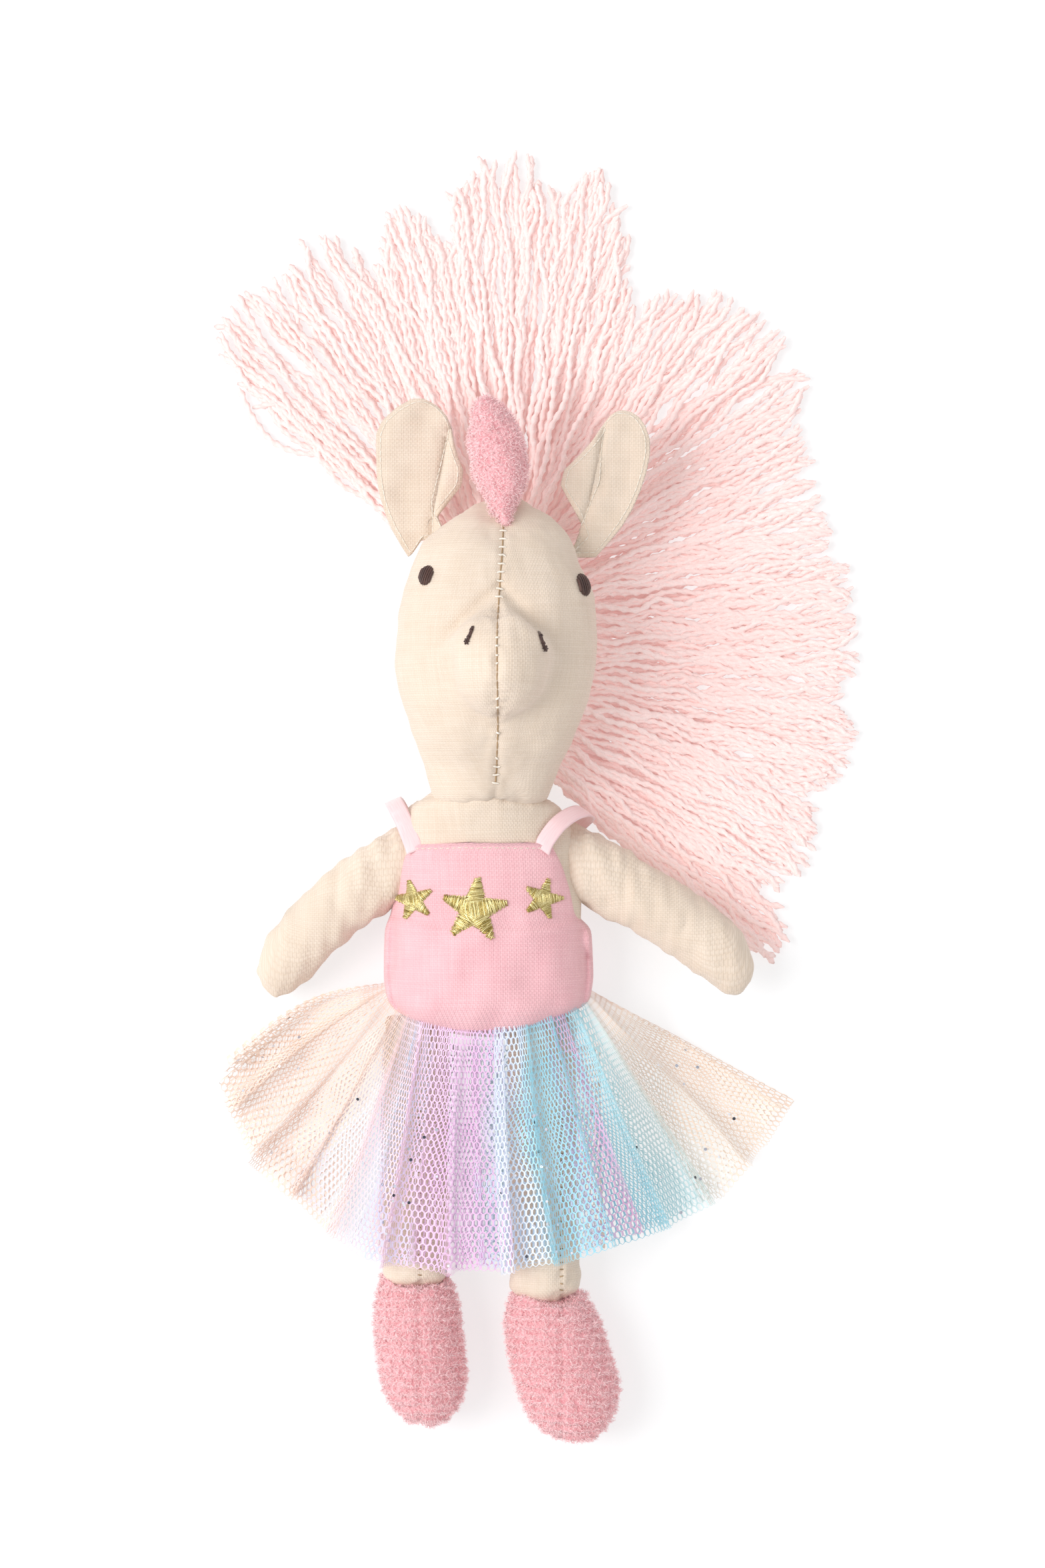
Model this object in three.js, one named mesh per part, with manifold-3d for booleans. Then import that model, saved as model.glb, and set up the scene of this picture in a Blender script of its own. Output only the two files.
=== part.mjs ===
// A small sewn plush unicorn in a tulle dress, lying on its back.
// Millimetres, +Z up. The origin is on the resting surface under the middle of the torso,
// +Y runs towards the head and +X towards the doll's left arm, which is on the right from above.

import * as THREE from 'three';
import { mergeVertices } from 'three/addons/utils/BufferGeometryUtils.js';
import Module from 'manifold-3d';

const wasm = await Module();
wasm.setup();

// ---- Driving dimensions -------------------------------------------------------------------

const GAP = 0.3; // between pieces that touch
const CALICO = 0.8; // wall of a sewn cover, seam allowances included
const BODICE = 1.0; // wall of the dress's bodice, hem included
const RIBBON = 0.6; // thickness of a strap
const STITCH = 0.6; // height of an embroidered motif
const WEFT = 2.0; // thickness of the sewn strip that holds the mane
const TULLE_BACK = 3.0; // depth of the gathered net under the legs
const TULLE_FRONT = 3.0; // depth of the gathered net over the legs
const TULLE_SIDE = 12.5; // depth of the gathered net beside the hips
const LOCK_DEPTH = 3.8; // depth of a fanned-out lock of yarn
const REST = 0.3; // a loose piece lies this far above the resting surface

const TORSO_REST = BODICE + GAP; // the torso lies on the bodice's back
const NECK_Y = 36.2; // neck seam between head and torso
const HEAD_SEAM_X = 3.0; // centre seam of the face
const TORSO_MID_Z = 15.0; // seam plane between front and back panels
const SHOULDER_X = 25.2; // where an arm is sewn to the torso's side
const HIP_Y = -26.9; // where a leg is sewn to the torso's lower end
const SEAM_GAP = 0.2; // each side of the neck seam
const FILL_BACK = 1; // stuffing ends this far from the plane of a seam
const BIG = 400; // larger than the whole doll
const UNDER_Z = -5; // below the whole doll
const OVER_Z = 70; // above the whole doll

// ---- Colours ------------------------------------------------------------------------------

const FINISH = {
  calico: { color: 0xe6d5bf, roughness: 0.9, metalness: 0 },
  filling: { color: 0xf4f2ee, roughness: 1.0, metalness: 0 },
  cotton: { color: 0xefb0b8, roughness: 0.85, metalness: 0 },
  terry: { color: 0xeda3ad, roughness: 0.95, metalness: 0 },
  ribbon: { color: 0xf3cfd3, roughness: 0.45, metalness: 0 },
  gold: { color: 0xb59a4a, roughness: 0.4, metalness: 0.6 },
  thread: { color: 0x4a2e28, roughness: 0.7, metalness: 0 },
  yarn: { color: 0xf6d8d6, roughness: 0.9, metalness: 0 },
  peach: { color: 0xe8cdb8, roughness: 0.8, metalness: 0 },
  orchid: { color: 0xd6a0d4, roughness: 0.8, metalness: 0 },
  aqua: { color: 0x7ec4d8, roughness: 0.8, metalness: 0 },
};

// ---- Helpers ------------------------------------------------------------------------------

/** A closed three.js geometry as a solid that can be joined and cut. */
function solidOf(geometry) {
  const bare = geometry.index ? geometry.toNonIndexed() : geometry.clone();
  bare.deleteAttribute('normal');
  bare.deleteAttribute('uv');
  const merged = mergeVertices(bare, 1e-4);
  return new wasm.Manifold(new wasm.Mesh({
    numProp: 3,
    vertProperties: new Float32Array(merged.attributes.position.array),
    triVerts: new Uint32Array(merged.index.array),
  }));
}

/** A solid back as a three.js geometry. */
function geometryOf(solid) {
  const mesh = solid.getMesh();
  const geometry = new THREE.BufferGeometry();
  geometry.setAttribute('position', new THREE.BufferAttribute(mesh.vertProperties, 3));
  geometry.setIndex(new THREE.BufferAttribute(mesh.triVerts, 1));
  geometry.computeVertexNormals();
  return geometry;
}

/** A box between two corners. */
function block(low, high) {
  const size = high.map((value, i) => value - low[i]);
  const box = new THREE.BoxGeometry(...size);
  box.translate(...low.map((value, i) => value + size[i] / 2));
  return solidOf(box);
}

/** A plan outline raised from z = low to z = high; smooth outlines run through their points. */
function prism(points, low, high, smooth = false) {
  const path = points.map(([x, y]) => new THREE.Vector2(x, y));
  const shape = new THREE.Shape();
  shape.moveTo(path[0].x, path[0].y);
  if (smooth) {
    shape.splineThru([...path.slice(1), path[0]]);
  } else {
    path.slice(1).forEach((point) => shape.lineTo(point.x, point.y));
  }
  const depth = high - low;
  const raised = new THREE.ExtrudeGeometry(shape, { depth, bevelEnabled: false, curveSegments: 2 });
  raised.translate(0, 0, low);
  return solidOf(raised);
}

/**
 * A stuffed form: a sphere whose rings are carried along a spine.
 * Each station is [x, y, z, half width, half depth in front, half depth behind].
 * The ends are rounded over the given shares of the spine's length.
 */
function stuffedForm(stations, { around = 20, along = 12, roundStart = 0.2, roundEnd = 0.2 }) {
  const places = stations.map(([x, y, z]) => new THREE.Vector3(x, y, z));
  const steps = places.map((place, i) => (i ? place.distanceTo(places[i - 1]) : 0));
  const length = steps.reduce((sum, step) => sum + step, 0);
  let run = 0;
  const times = steps.map((step) => {
    run += step;
    return run / length;
  });
  const spine = new THREE.CubicInterpolant(times, stations.flat(), 6);
  const sphere = new THREE.SphereGeometry(1, around, along);
  const position = sphere.attributes.position;
  const nudge = 0.002;
  for (let i = 0; i < position.count; i += 1) {
    const direction = new THREE.Vector3().fromBufferAttribute(position, i);
    const t = THREE.MathUtils.clamp((1 - direction.y) / 2, 0, 1);
    const before = [...spine.evaluate(Math.max(t - nudge, 0))];
    const after = [...spine.evaluate(Math.min(t + nudge, 1))];
    const [x, y, z, wide, front, behind] = [...spine.evaluate(t)];
    const tangent = new THREE.Vector3(after[0] - before[0], after[1] - before[1], after[2] - before[2]);
    tangent.normalize();
    const across = new THREE.Vector3(0, 0, 1).cross(tangent).normalize();
    const up = tangent.clone().cross(across);
    const start = Math.min(t / roundStart, 1);
    const end = Math.min((1 - t) / roundEnd, 1);
    const round = Math.sqrt(start * (2 - start)) * Math.sqrt(end * (2 - end));
    const ring = Math.hypot(direction.x, direction.z) || 1;
    const depth = direction.z > 0 ? front : behind;
    const place = new THREE.Vector3(x, y, z);
    place.addScaledVector(across, (direction.x / ring) * wide * round);
    place.addScaledVector(up, (direction.z / ring) * depth * round);
    position.setXYZ(i, place.x, place.y, place.z);
  }
  sphere.deleteAttribute('normal');
  sphere.deleteAttribute('uv');
  const merged = mergeVertices(sphere, 1e-4);
  merged.computeVertexNormals();
  return merged;
}

/** The form with its surface moved outwards, or inwards if the distance is negative. */
function grown(form, distance) {
  const moved = form.clone();
  const { position, normal } = moved.attributes;
  for (let i = 0; i < position.count; i += 1) {
    position.setXYZ(
      i,
      position.getX(i) + normal.getX(i) * distance,
      position.getY(i) + normal.getY(i) * distance,
      position.getZ(i) + normal.getZ(i) * distance,
    );
  }
  return solidOf(moved);
}

const beyond = {
  left: (x) => block([-BIG, -BIG, -BIG], [x, BIG, BIG]),
  right: (x) => block([x, -BIG, -BIG], [BIG, BIG, BIG]),
  below: (y) => block([-BIG, -BIG, -BIG], [BIG, y, BIG]),
  above: (y) => block([-BIG, y, -BIG], [BIG, BIG, BIG]),
  under: (z) => block([-BIG, -BIG, -BIG], [BIG, BIG, z]),
  over: (z) => block([-BIG, -BIG, z], [BIG, BIG, BIG]),
};

const doll = new THREE.Group();
doll.name = 'plush_unicorn';

/** Adds one named piece to the doll. */
function piece(name, solid, finish) {
  const mesh = new THREE.Mesh(geometryOf(solid), new THREE.MeshStandardMaterial(FINISH[finish]));
  mesh.name = name;
  doll.add(mesh);
}

// ---- Torso --------------------------------------------------------------------------------

const torsoForm = stuffedForm([
  [0.0, 40.0, 21.5, 13.4, 11.4, 11.0],
  [0.0, 36.0, 21.2, 14.2, 11.6, 11.5],
  [-0.4, 31.5, 19.2, 19.6, 11.8, 12.6],
  [-0.5, 25.0, 16.6, 22.4, 12.6, 14.0],
  [0.0, 12.0, 15.0, 23.8, 14.4, 15.0],
  [0.0, 0.0, 15.0, 24.4, 15.0, 15.0],
  [0.2, -12.0, 15.0, 24.8, 14.8, 15.0],
  [0.2, -20.0, 14.8, 24.0, 13.8, 14.4],
  [0.2, -26.0, 14.2, 22.0, 12.0, 12.6],
], { around: 20, along: 13, roundStart: 0.05, roundEnd: 0.16 });

/** The torso, its flat back and its neck end, with its surface moved by a distance. */
function torsoAt(distance) {
  return grown(torsoForm, distance)
    .subtract(beyond.under(TORSO_REST - distance))
    .subtract(beyond.above(NECK_Y - SEAM_GAP));
}

const NECK_MOUTH = 3; // length of the neck's open end
const neckOpening = grown(torsoForm, -CALICO)
  .subtract(beyond.below(NECK_Y - NECK_MOUTH))
  .subtract(beyond.under(TORSO_REST + CALICO));
const torsoShell = torsoAt(0).subtract(torsoAt(-CALICO).add(neckOpening));
piece('torso_front_panel', torsoShell.subtract(beyond.under(TORSO_MID_Z + GAP / 2)), 'calico');
piece('torso_back_panel', torsoShell.subtract(beyond.over(TORSO_MID_Z - GAP / 2)), 'calico');
piece('torso_stuffing', torsoAt(-CALICO - GAP).subtract(beyond.above(NECK_Y - FILL_BACK)), 'filling');

// ---- Dress: bodice, straps and stars --------------------------------------------------------

const BODICE_OUTLINE = [
  [-20.2, 21.2], [-16.0, 22.5], [5.6, 22.9], [15.8, 22.4], [18.6, 17.3], [20.8, 10.3], [22.2, 2.6],
  [30.0, 2.4], [30.0, -15.5], [23.8, -18.7], [15.8, -21.4], [7.7, -23.3], [0.0, -24.2],
  [-8.5, -24.1], [-14.5, -23.1], [-20.7, -20.6], [-30.0, -15.8], [-30.0, 2.4], [-24.4, 3.0],
  [-22.8, 12.4], [-21.3, 17.3],
];
const bodiceShell = torsoAt(BODICE + GAP).subtract(torsoAt(GAP));
const bodiceCloth = bodiceShell.intersect(prism(BODICE_OUTLINE, UNDER_Z, OVER_Z));
piece('bodice_front', bodiceCloth.subtract(beyond.under(TORSO_MID_Z + GAP / 2)), 'cotton');
piece('bodice_back', bodiceCloth.subtract(beyond.over(TORSO_MID_Z - GAP / 2)), 'cotton');

const STRAP_START = 23.3; // the straps start just above the bodice's top edge
const STRAP_END = 34.6; // and end on top of the shoulders
const STRAPS = {
  strap_left: [[-20.4, STRAP_START], [-16.2, STRAP_START], [-19.6, STRAP_END], [-25.6, STRAP_END]],
  strap_right: [[11.6, STRAP_START], [16.0, STRAP_START], [25.4, STRAP_END], [19.6, STRAP_END]],
};
const strapShell = torsoAt(RIBBON + GAP).subtract(torsoAt(GAP));
for (const [name, outline] of Object.entries(STRAPS)) {
  piece(name, strapShell.intersect(prism(outline, UNDER_Z, OVER_Z)), 'ribbon');
}

const STAR_NOTCH = 0.46; // a notch's radius as a share of a tip's
const STAR_FLOOR_Z = 16; // above the torso's seam plane, so that only its front is stitched

/** A five-pointed star's outline, tip up, turned by an angle in degrees. */
function starOutline([x, y], tipRadius, turn) {
  const points = [];
  for (let i = 0; i < 10; i += 1) {
    const radius = i % 2 ? tipRadius * STAR_NOTCH : tipRadius;
    const angle = THREE.MathUtils.degToRad(90 + turn + i * 36);
    points.push([x + radius * Math.cos(angle), y + radius * Math.sin(angle)]);
  }
  return points;
}

const STARS = {
  star_left: [[-18.0, 8.2], 5.0, 6],
  star_centre: [[-3.0, 5.6], 8.2, 2],
  star_right: [[13.3, 8.8], 5.0, -12],
};
const stitchShell = torsoAt(BODICE + 2 * GAP + STITCH).subtract(torsoAt(BODICE + 2 * GAP));
for (const [name, [centre, radius, turn]] of Object.entries(STARS)) {
  const column = prism(starOutline(centre, radius, turn), STAR_FLOOR_Z, OVER_Z);
  piece(name, stitchShell.intersect(column), 'gold');
}

// ---- Head -----------------------------------------------------------------------------------

const headForm = stuffedForm([
  [6.2, 109.4, 25.0, 8.0, 8.0, 8.0],
  [5.6, 106.0, 25.2, 13.5, 10.0, 10.0],
  [4.5, 96.8, 26.0, 18.6, 14.0, 15.6],
  [3.4, 90.6, 26.4, 21.6, 16.6, 18.2],
  [3.0, 82.8, 26.6, 24.2, 18.6, 20.0],
  [2.2, 72.0, 26.6, 25.2, 19.6, 20.2],
  [1.7, 59.0, 26.2, 23.4, 18.6, 19.6],
  [1.0, 49.0, 24.8, 20.0, 15.0, 17.0],
  [0.5, 41.8, 22.6, 16.6, 12.0, 13.4],
  [0.0, 36.0, 21.2, 14.3, 11.5, 11.7],
  [0.0, 33.5, 21.0, 13.8, 11.0, 11.2],
], { around: 20, along: 13, roundStart: 0.2, roundEnd: 0.05 });
const muzzleForm = stuffedForm([
  [3.6, 70.0, 31.0, 13.0, 13.0, 15.0],
  [3.6, 67.6, 44.0, 12.4, 12.6, 15.0],
  [3.5, 65.4, 53.0, 11.2, 11.4, 13.0],
  [3.4, 64.0, 57.4, 9.0, 9.0, 9.6],
], { around: 14, along: 8, roundStart: 0.2, roundEnd: 0.34 });

/** The head with its muzzle, cut at the neck seam, with its surface moved by a distance. */
function headAt(distance) {
  return grown(headForm, distance).add(grown(muzzleForm, distance)).subtract(beyond.below(NECK_Y + SEAM_GAP));
}

const headHollow = grown(headForm, -CALICO).add(grown(muzzleForm, -CALICO));
const headShell = headAt(0).subtract(headHollow);
piece('head_panel_left', headShell.subtract(beyond.right(HEAD_SEAM_X - GAP / 2)), 'calico');
piece('head_panel_right', headShell.subtract(beyond.left(HEAD_SEAM_X + GAP / 2)), 'calico');
piece('head_stuffing', headAt(-CALICO - GAP).subtract(beyond.below(NECK_Y + FILL_BACK)), 'filling');

const faceShell = headAt(GAP + STITCH).subtract(headAt(GAP));

/** A slanted oval's outline. */
function ovalOutline([x, y], halfWide, halfTall, lean, sides = 14) {
  const tilt = THREE.MathUtils.degToRad(lean);
  return Array.from({ length: sides }, (_, i) => {
    const angle = (i / sides) * Math.PI * 2;
    const u = halfWide * Math.cos(angle);
    const v = halfTall * Math.sin(angle);
    return [x + u * Math.cos(tilt) - v * Math.sin(tilt), y + u * Math.sin(tilt) + v * Math.cos(tilt)];
  });
}

const FACE_FLOOR_Z = 28; // above the head's middle, so that only its front is stitched
const FACE = {
  eye_left: [[-14.8, 88.3], 1.8, 2.7, -14],
  eye_right: [[23.5, 86.2], 1.6, 3.1, 10],
  nostril_left: [[-4.1, 73.2], 0.7, 2.4, -24],
  nostril_right: [[13.4, 71.8], 0.7, 2.6, 20],
};
for (const [name, [centre, wide, tall, lean]] of Object.entries(FACE)) {
  const column = prism(ovalOutline(centre, wide, tall, lean), FACE_FLOOR_Z, OVER_Z);
  piece(name, faceShell.intersect(column), 'thread');
}

// ---- Horn -----------------------------------------------------------------------------------

const hornForm = stuffedForm([
  [4.5, 100.4, 35.5, 3.0, 3.6, 5.0],
  [3.6, 108.0, 34.5, 5.4, 5.8, 9.0],
  [2.6, 115.0, 34.0, 6.6, 6.4, 8.0],
  [1.4, 122.5, 34.6, 6.4, 5.8, 6.4],
  [-0.8, 133.2, 36.0, 3.6, 3.4, 3.6],
], { around: 12, along: 8, roundStart: 0.2, roundEnd: 0.26 });
const hornOuter = grown(hornForm, 0).subtract(headAt(GAP));
const hornBaseCut = headAt(GAP + 2 * CALICO);
piece('horn_cover', hornOuter.subtract(grown(hornForm, -CALICO)), 'terry');
piece('horn_stuffing', grown(hornForm, -CALICO - GAP).subtract(hornBaseCut), 'filling');

// ---- Ears -----------------------------------------------------------------------------------

const EAR_LAYER = 1.3; // one turned and pressed layer of an ear
const EAR_Z = 21.0; // underside of the ears, where they're sewn to the back of the head
const EARS = {
  left: [
    [-19.6, 93.6], [-24.0, 101.0], [-27.0, 110.0], [-27.6, 119.0], [-26.8, 126.6], [-19.0, 132.8],
    [-13.6, 131.8], [-9.8, 127.6], [-8.2, 120.6], [-6.0, 112.6], [-12.0, 104.6],
  ],
  right: [
    [26.8, 93.6], [34.0, 102.2], [38.6, 112.0], [40.4, 121.4], [38.0, 128.0], [33.6, 130.0],
    [30.2, 128.2], [24.8, 120.6], [18.0, 113.0], [22.6, 103.6],
  ],
};
for (const [side, outline] of Object.entries(EARS)) {
  const backTop = EAR_Z + EAR_LAYER;
  piece(`ear_${side}_back`, prism(outline, EAR_Z, backTop, true), 'calico');
  piece(`ear_${side}_front`, prism(outline, backTop + GAP, backTop + GAP + EAR_LAYER, true), 'calico');
}

// ---- Mane -----------------------------------------------------------------------------------

const WEFT_TOP_Z = 20; // the strip keeps to the back of the head
const weftStrip = prism([[0.6, 44.0], [5.4, 44.0], [8.0, 104.0], [3.2, 104.0]], UNDER_Z, WEFT_TOP_Z);
const weftShell = headAt(GAP + WEFT).subtract(headAt(GAP));
piece('mane_weft', weftShell.intersect(weftStrip), 'yarn');

// Locks of yarn fanned out on the resting surface, in order round the head.
const LOCKS = {
  mane_lock_left: [
    [-2.0, 88.0], [-28.0, 122.6], [-36.0, 127.0], [-53.0, 132.0], [-63.0, 139.4], [-72.0, 155.0],
    [-70.5, 159.2], [-53.5, 167.7], [-49.0, 174.8], [-44.5, 177.8], [-35.7, 174.5], [-29.8, 165.0],
    [-3.0, 98.0],
  ],
  mane_lock_upper_left: [
    [-2.2, 98.8], [-28.8, 166.2], [-27.3, 176.5], [-24.5, 186.3], [-16.2, 182.3], [-10.4, 172.0],
    [0.6, 105.2],
  ],
  mane_lock_crown: [
    [1.4, 105.2], [-9.6, 172.8], [-8.3, 189.8], [0.5, 197.5], [11.3, 197.5], [14.0, 188.0],
    [8.2, 105.6],
  ],
  mane_lock_upper_right: [
    [9.0, 105.4], [14.9, 188.0], [18.8, 189.8], [29.0, 194.2], [34.8, 182.3], [36.8, 159.8],
    [12.6, 104.6],
  ],
  mane_lock_right_top: [
    [13.2, 104.0], [38.0, 160.0], [46.7, 162.8], [60.3, 162.8], [74.0, 154.0], [82.4, 141.2],
    [14.6, 97.0],
  ],
  mane_lock_right_upper: [
    [14.6, 96.0], [82.0, 139.8], [80.8, 131.3], [83.8, 115.7], [87.4, 102.0], [88.0, 94.6],
    [31.2, 87.8], [14.6, 82.6],
  ],
  mane_lock_right_middle: [
    [31.8, 86.8], [88.6, 93.6], [92.7, 92.2], [93.7, 76.5], [95.2, 70.7], [92.2, 63.6], [31.8, 66.0],
  ],
  mane_lock_right_lower: [
    [31.8, 65.0], [91.6, 62.6], [90.7, 58.8], [94.7, 49.0], [91.7, 40.2], [84.6, 32.4], [31.8, 51.0],
  ],
  mane_lock_shoulder_upper: [
    [27.0, 50.0], [83.6, 31.0], [85.5, 23.5], [80.8, 15.7], [74.0, 8.4], [24.6, 40.6],
  ],
  mane_lock_shoulder_lower: [
    [24.0, 39.6], [73.4, 7.2], [77.0, -5.8], [73.0, -9.3], [66.2, 0.0], [56.0, 8.0], [23.4, 34.0],
  ],
};
for (const [name, outline] of Object.entries(LOCKS)) {
  piece(name, prism(outline, REST, REST + LOCK_DEPTH), 'yarn');
}

// ---- Arms -----------------------------------------------------------------------------------

const ARMS = {
  left: [
    [-15.0, 22.4, 15.2, 8.0, 6.9, 7.2],
    [-25.2, 16.6, 15.0, 8.4, 6.9, 7.2],
    [-34.4, 9.6, 13.4, 8.3, 7.0, 7.2],
    [-43.6, 1.2, 10.6, 8.2, 7.1, 7.2],
    [-50.2, -6.6, 8.2, 8.1, 7.1, 7.2],
    [-52.6, -11.4, 7.6, 7.2, 6.6, 6.8],
    [-53.4, -17.0, 7.4, 5.4, 5.4, 5.6],
  ],
  right: [
    [14.0, 23.6, 15.2, 8.2, 6.9, 7.2],
    [25.2, 17.0, 15.0, 8.8, 6.9, 7.2],
    [36.0, 10.2, 14.4, 8.8, 7.0, 7.2],
    [48.0, 3.0, 13.6, 8.6, 7.1, 7.2],
    [57.0, -4.0, 13.2, 8.5, 7.1, 7.2],
    [61.0, -10.0, 13.0, 7.4, 6.6, 6.8],
    [62.4, -16.8, 13.0, 5.4, 5.4, 5.6],
  ],
};
for (const [side, stations] of Object.entries(ARMS)) {
  const form = stuffedForm(stations, { around: 12, along: 10, roundStart: 0.05, roundEnd: 0.18 });
  const inward = (x) => (side === 'left' ? beyond.right(-x) : beyond.left(x));
  const cover = grown(form, 0).subtract(grown(form, -CALICO)).subtract(inward(SHOULDER_X));
  piece(`arm_${side}_cover`, cover, 'calico');
  const filling = grown(form, -CALICO - GAP).subtract(inward(SHOULDER_X + FILL_BACK));
  piece(`arm_${side}_stuffing`, filling, 'filling');
}

// ---- Legs and boots -------------------------------------------------------------------------

const LEGS = {
  left: {
    leg: [
      [-17.6, -20.0, 12.4, 8.0, 7.2, 7.8],
      [-17.8, -32.0, 12.0, 8.3, 7.6, 7.8],
      [-18.2, -60.0, 12.0, 8.4, 7.8, 7.8],
      [-18.2, -90.5, 12.0, 8.3, 7.6, 7.6],
    ],
    boot: [
      [-18.4, -82.5, 11.2, 9.8, 9.0, 9.2],
      [-18.2, -88.0, 11.0, 10.0, 9.2, 9.4],
      [-17.8, -98.0, 10.6, 10.5, 9.6, 10.0],
      [-16.6, -108.0, 10.6, 10.6, 9.8, 10.2],
      [-15.2, -116.0, 10.6, 10.0, 9.6, 10.2],
      [-13.8, -123.6, 10.4, 7.6, 8.0, 8.6],
    ],
    bootTop: -85.4,
  },
  right: {
    leg: [
      [13.6, -20.0, 12.4, 8.4, 7.2, 7.8],
      [13.8, -32.0, 12.0, 9.0, 7.6, 7.8],
      [14.0, -60.0, 12.0, 9.2, 7.8, 7.8],
      [14.4, -94.0, 12.0, 9.0, 7.6, 7.6],
    ],
    boot: [
      [14.4, -86.0, 11.2, 10.4, 9.0, 9.2],
      [14.8, -92.0, 11.0, 10.8, 9.2, 9.4],
      [16.2, -101.0, 10.6, 11.6, 9.8, 10.0],
      [19.0, -110.0, 10.6, 12.3, 10.2, 10.2],
      [22.0, -118.0, 10.6, 11.8, 10.0, 10.2],
      [25.8, -127.0, 10.4, 8.4, 8.4, 8.8],
    ],
    bootTop: -89.2,
  },
};
for (const [side, { leg, boot, bootTop }] of Object.entries(LEGS)) {
  const legForm = stuffedForm(leg, { around: 14, along: 6, roundStart: 0.05, roundEnd: 0.04 });
  const bootForm = stuffedForm(boot, { around: 14, along: 9, roundStart: 0.03, roundEnd: 0.24 });
  const legCover = grown(legForm, 0).subtract(grown(legForm, -CALICO)).subtract(beyond.above(HIP_Y));
  piece(`leg_${side}_cover`, legCover, 'calico');
  const legFilling = grown(legForm, -CALICO - GAP).subtract(beyond.above(HIP_Y - FILL_BACK));
  piece(`leg_${side}_stuffing`, legFilling, 'filling');
  const bootCover = grown(bootForm, 0).subtract(grown(bootForm, -CALICO)).subtract(beyond.above(bootTop));
  piece(`boot_${side}_cover`, bootCover.subtract(grown(legForm, GAP)), 'terry');
  const legEnd = Math.min(...leg.map((station) => station[1]));
  const bootFilling = grown(bootForm, -CALICO - GAP).subtract(beyond.above(legEnd - FILL_BACK));
  piece(`boot_${side}_stuffing`, bootFilling, 'filling');
}

// ---- Skirt ----------------------------------------------------------------------------------

const OVER_LEGS_Z = 21.6; // underside of the net that lies over the legs
const SKIRT = {
  skirt_back: {
    outline: [
      [-27.2, -28.0], [27.2, -28.0], [27.6, -79.0], [16.8, -81.6], [0.3, -83.6], [-18.8, -83.6],
      [-27.4, -81.6],
    ],
    low: REST,
    high: REST + TULLE_BACK,
    finish: 'aqua',
  },
  skirt_side_left: {
    outline: [
      [-28.4, -13.4], [-34.8, -12.4], [-40.0, -14.8], [-45.0, -19.6], [-50.7, -23.0], [-61.3, -28.4],
      [-67.5, -32.2], [-64.0, -36.5], [-69.0, -39.3], [-62.5, -50.8], [-58.7, -59.8], [-49.2, -67.8],
      [-43.3, -73.2], [-33.7, -80.6], [-28.4, -82.0],
    ],
    low: REST,
    high: REST + TULLE_SIDE,
    finish: 'peach',
  },
  skirt_side_right: {
    outline: [
      [28.4, -16.4], [28.4, -78.8], [46.6, -74.3], [61.0, -65.8], [72.0, -51.5], [76.2, -44.3],
      [61.0, -33.8], [44.3, -25.0],
    ],
    low: REST,
    high: REST + TULLE_SIDE,
    finish: 'peach',
  },
  skirt_front_left: {
    outline: [
      [-27.6, -40.0], [3.2, -40.0], [3.2, -84.0], [-10.8, -84.5], [-27.6, -82.4],
    ],
    low: OVER_LEGS_Z,
    high: OVER_LEGS_Z + TULLE_FRONT,
    finish: 'orchid',
  },
  skirt_front_right: {
    outline: [
      [3.8, -40.0], [27.6, -40.0], [27.6, -79.2], [16.8, -82.2], [3.8, -84.0],
    ],
    low: OVER_LEGS_Z,
    high: OVER_LEGS_Z + TULLE_FRONT,
    finish: 'aqua',
  },
};
for (const [name, { outline, low, high, finish }] of Object.entries(SKIRT)) {
  piece(name, prism(outline, low, high), finish);
}

export default doll;
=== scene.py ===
"""Looks of a small sewn plush unicorn: calico body, terry horn and boots, yarn mane and net skirt.

Every class below is one sub-assembly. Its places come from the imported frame, in metres, and are
worked on in millimetres.
"""

import logging
import math
from collections.abc import Callable
from dataclasses import dataclass, field
from enum import Enum
import bmesh
import bpy
import numpy as np
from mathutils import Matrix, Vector
from mathutils.bvhtree import BVHTree


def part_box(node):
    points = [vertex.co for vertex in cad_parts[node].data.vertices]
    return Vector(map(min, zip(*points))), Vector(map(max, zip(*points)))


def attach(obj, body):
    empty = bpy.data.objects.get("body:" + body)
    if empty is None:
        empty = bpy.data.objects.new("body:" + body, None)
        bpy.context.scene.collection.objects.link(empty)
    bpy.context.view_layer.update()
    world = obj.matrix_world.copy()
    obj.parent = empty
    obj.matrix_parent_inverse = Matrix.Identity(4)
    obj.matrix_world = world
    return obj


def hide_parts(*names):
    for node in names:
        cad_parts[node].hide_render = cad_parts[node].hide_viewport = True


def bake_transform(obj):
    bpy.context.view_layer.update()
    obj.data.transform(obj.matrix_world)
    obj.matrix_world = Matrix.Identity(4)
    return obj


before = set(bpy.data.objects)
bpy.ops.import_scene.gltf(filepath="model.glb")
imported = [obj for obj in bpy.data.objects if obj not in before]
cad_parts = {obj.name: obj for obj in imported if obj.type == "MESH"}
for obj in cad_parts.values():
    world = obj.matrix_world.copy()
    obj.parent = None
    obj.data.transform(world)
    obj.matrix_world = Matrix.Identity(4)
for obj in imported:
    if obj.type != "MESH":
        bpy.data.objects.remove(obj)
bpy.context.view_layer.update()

log = logging.getLogger("plush_unicorn")

Piece = bpy.types.Object

MM = 0.001  # metres in a millimetre
SIM_SCALE = 10.0  # cloth is simulated ten times larger, where its solver is steady
UP = np.array([0.0, 0.0, 1.0])
SKY_MM = 90.0  # above the whole doll


class Side(Enum):
    """Which of a pair of pieces, as seen from the front."""

    LEFT = "left"
    RIGHT = "right"

    def __str__(self) -> str:
        """The word in the names of nodes, bodies and pieces."""
        return self.value

    @property
    def way(self) -> float:
        """The direction outwards along X."""
        return -1.0 if self is Side.LEFT else 1.0


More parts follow.
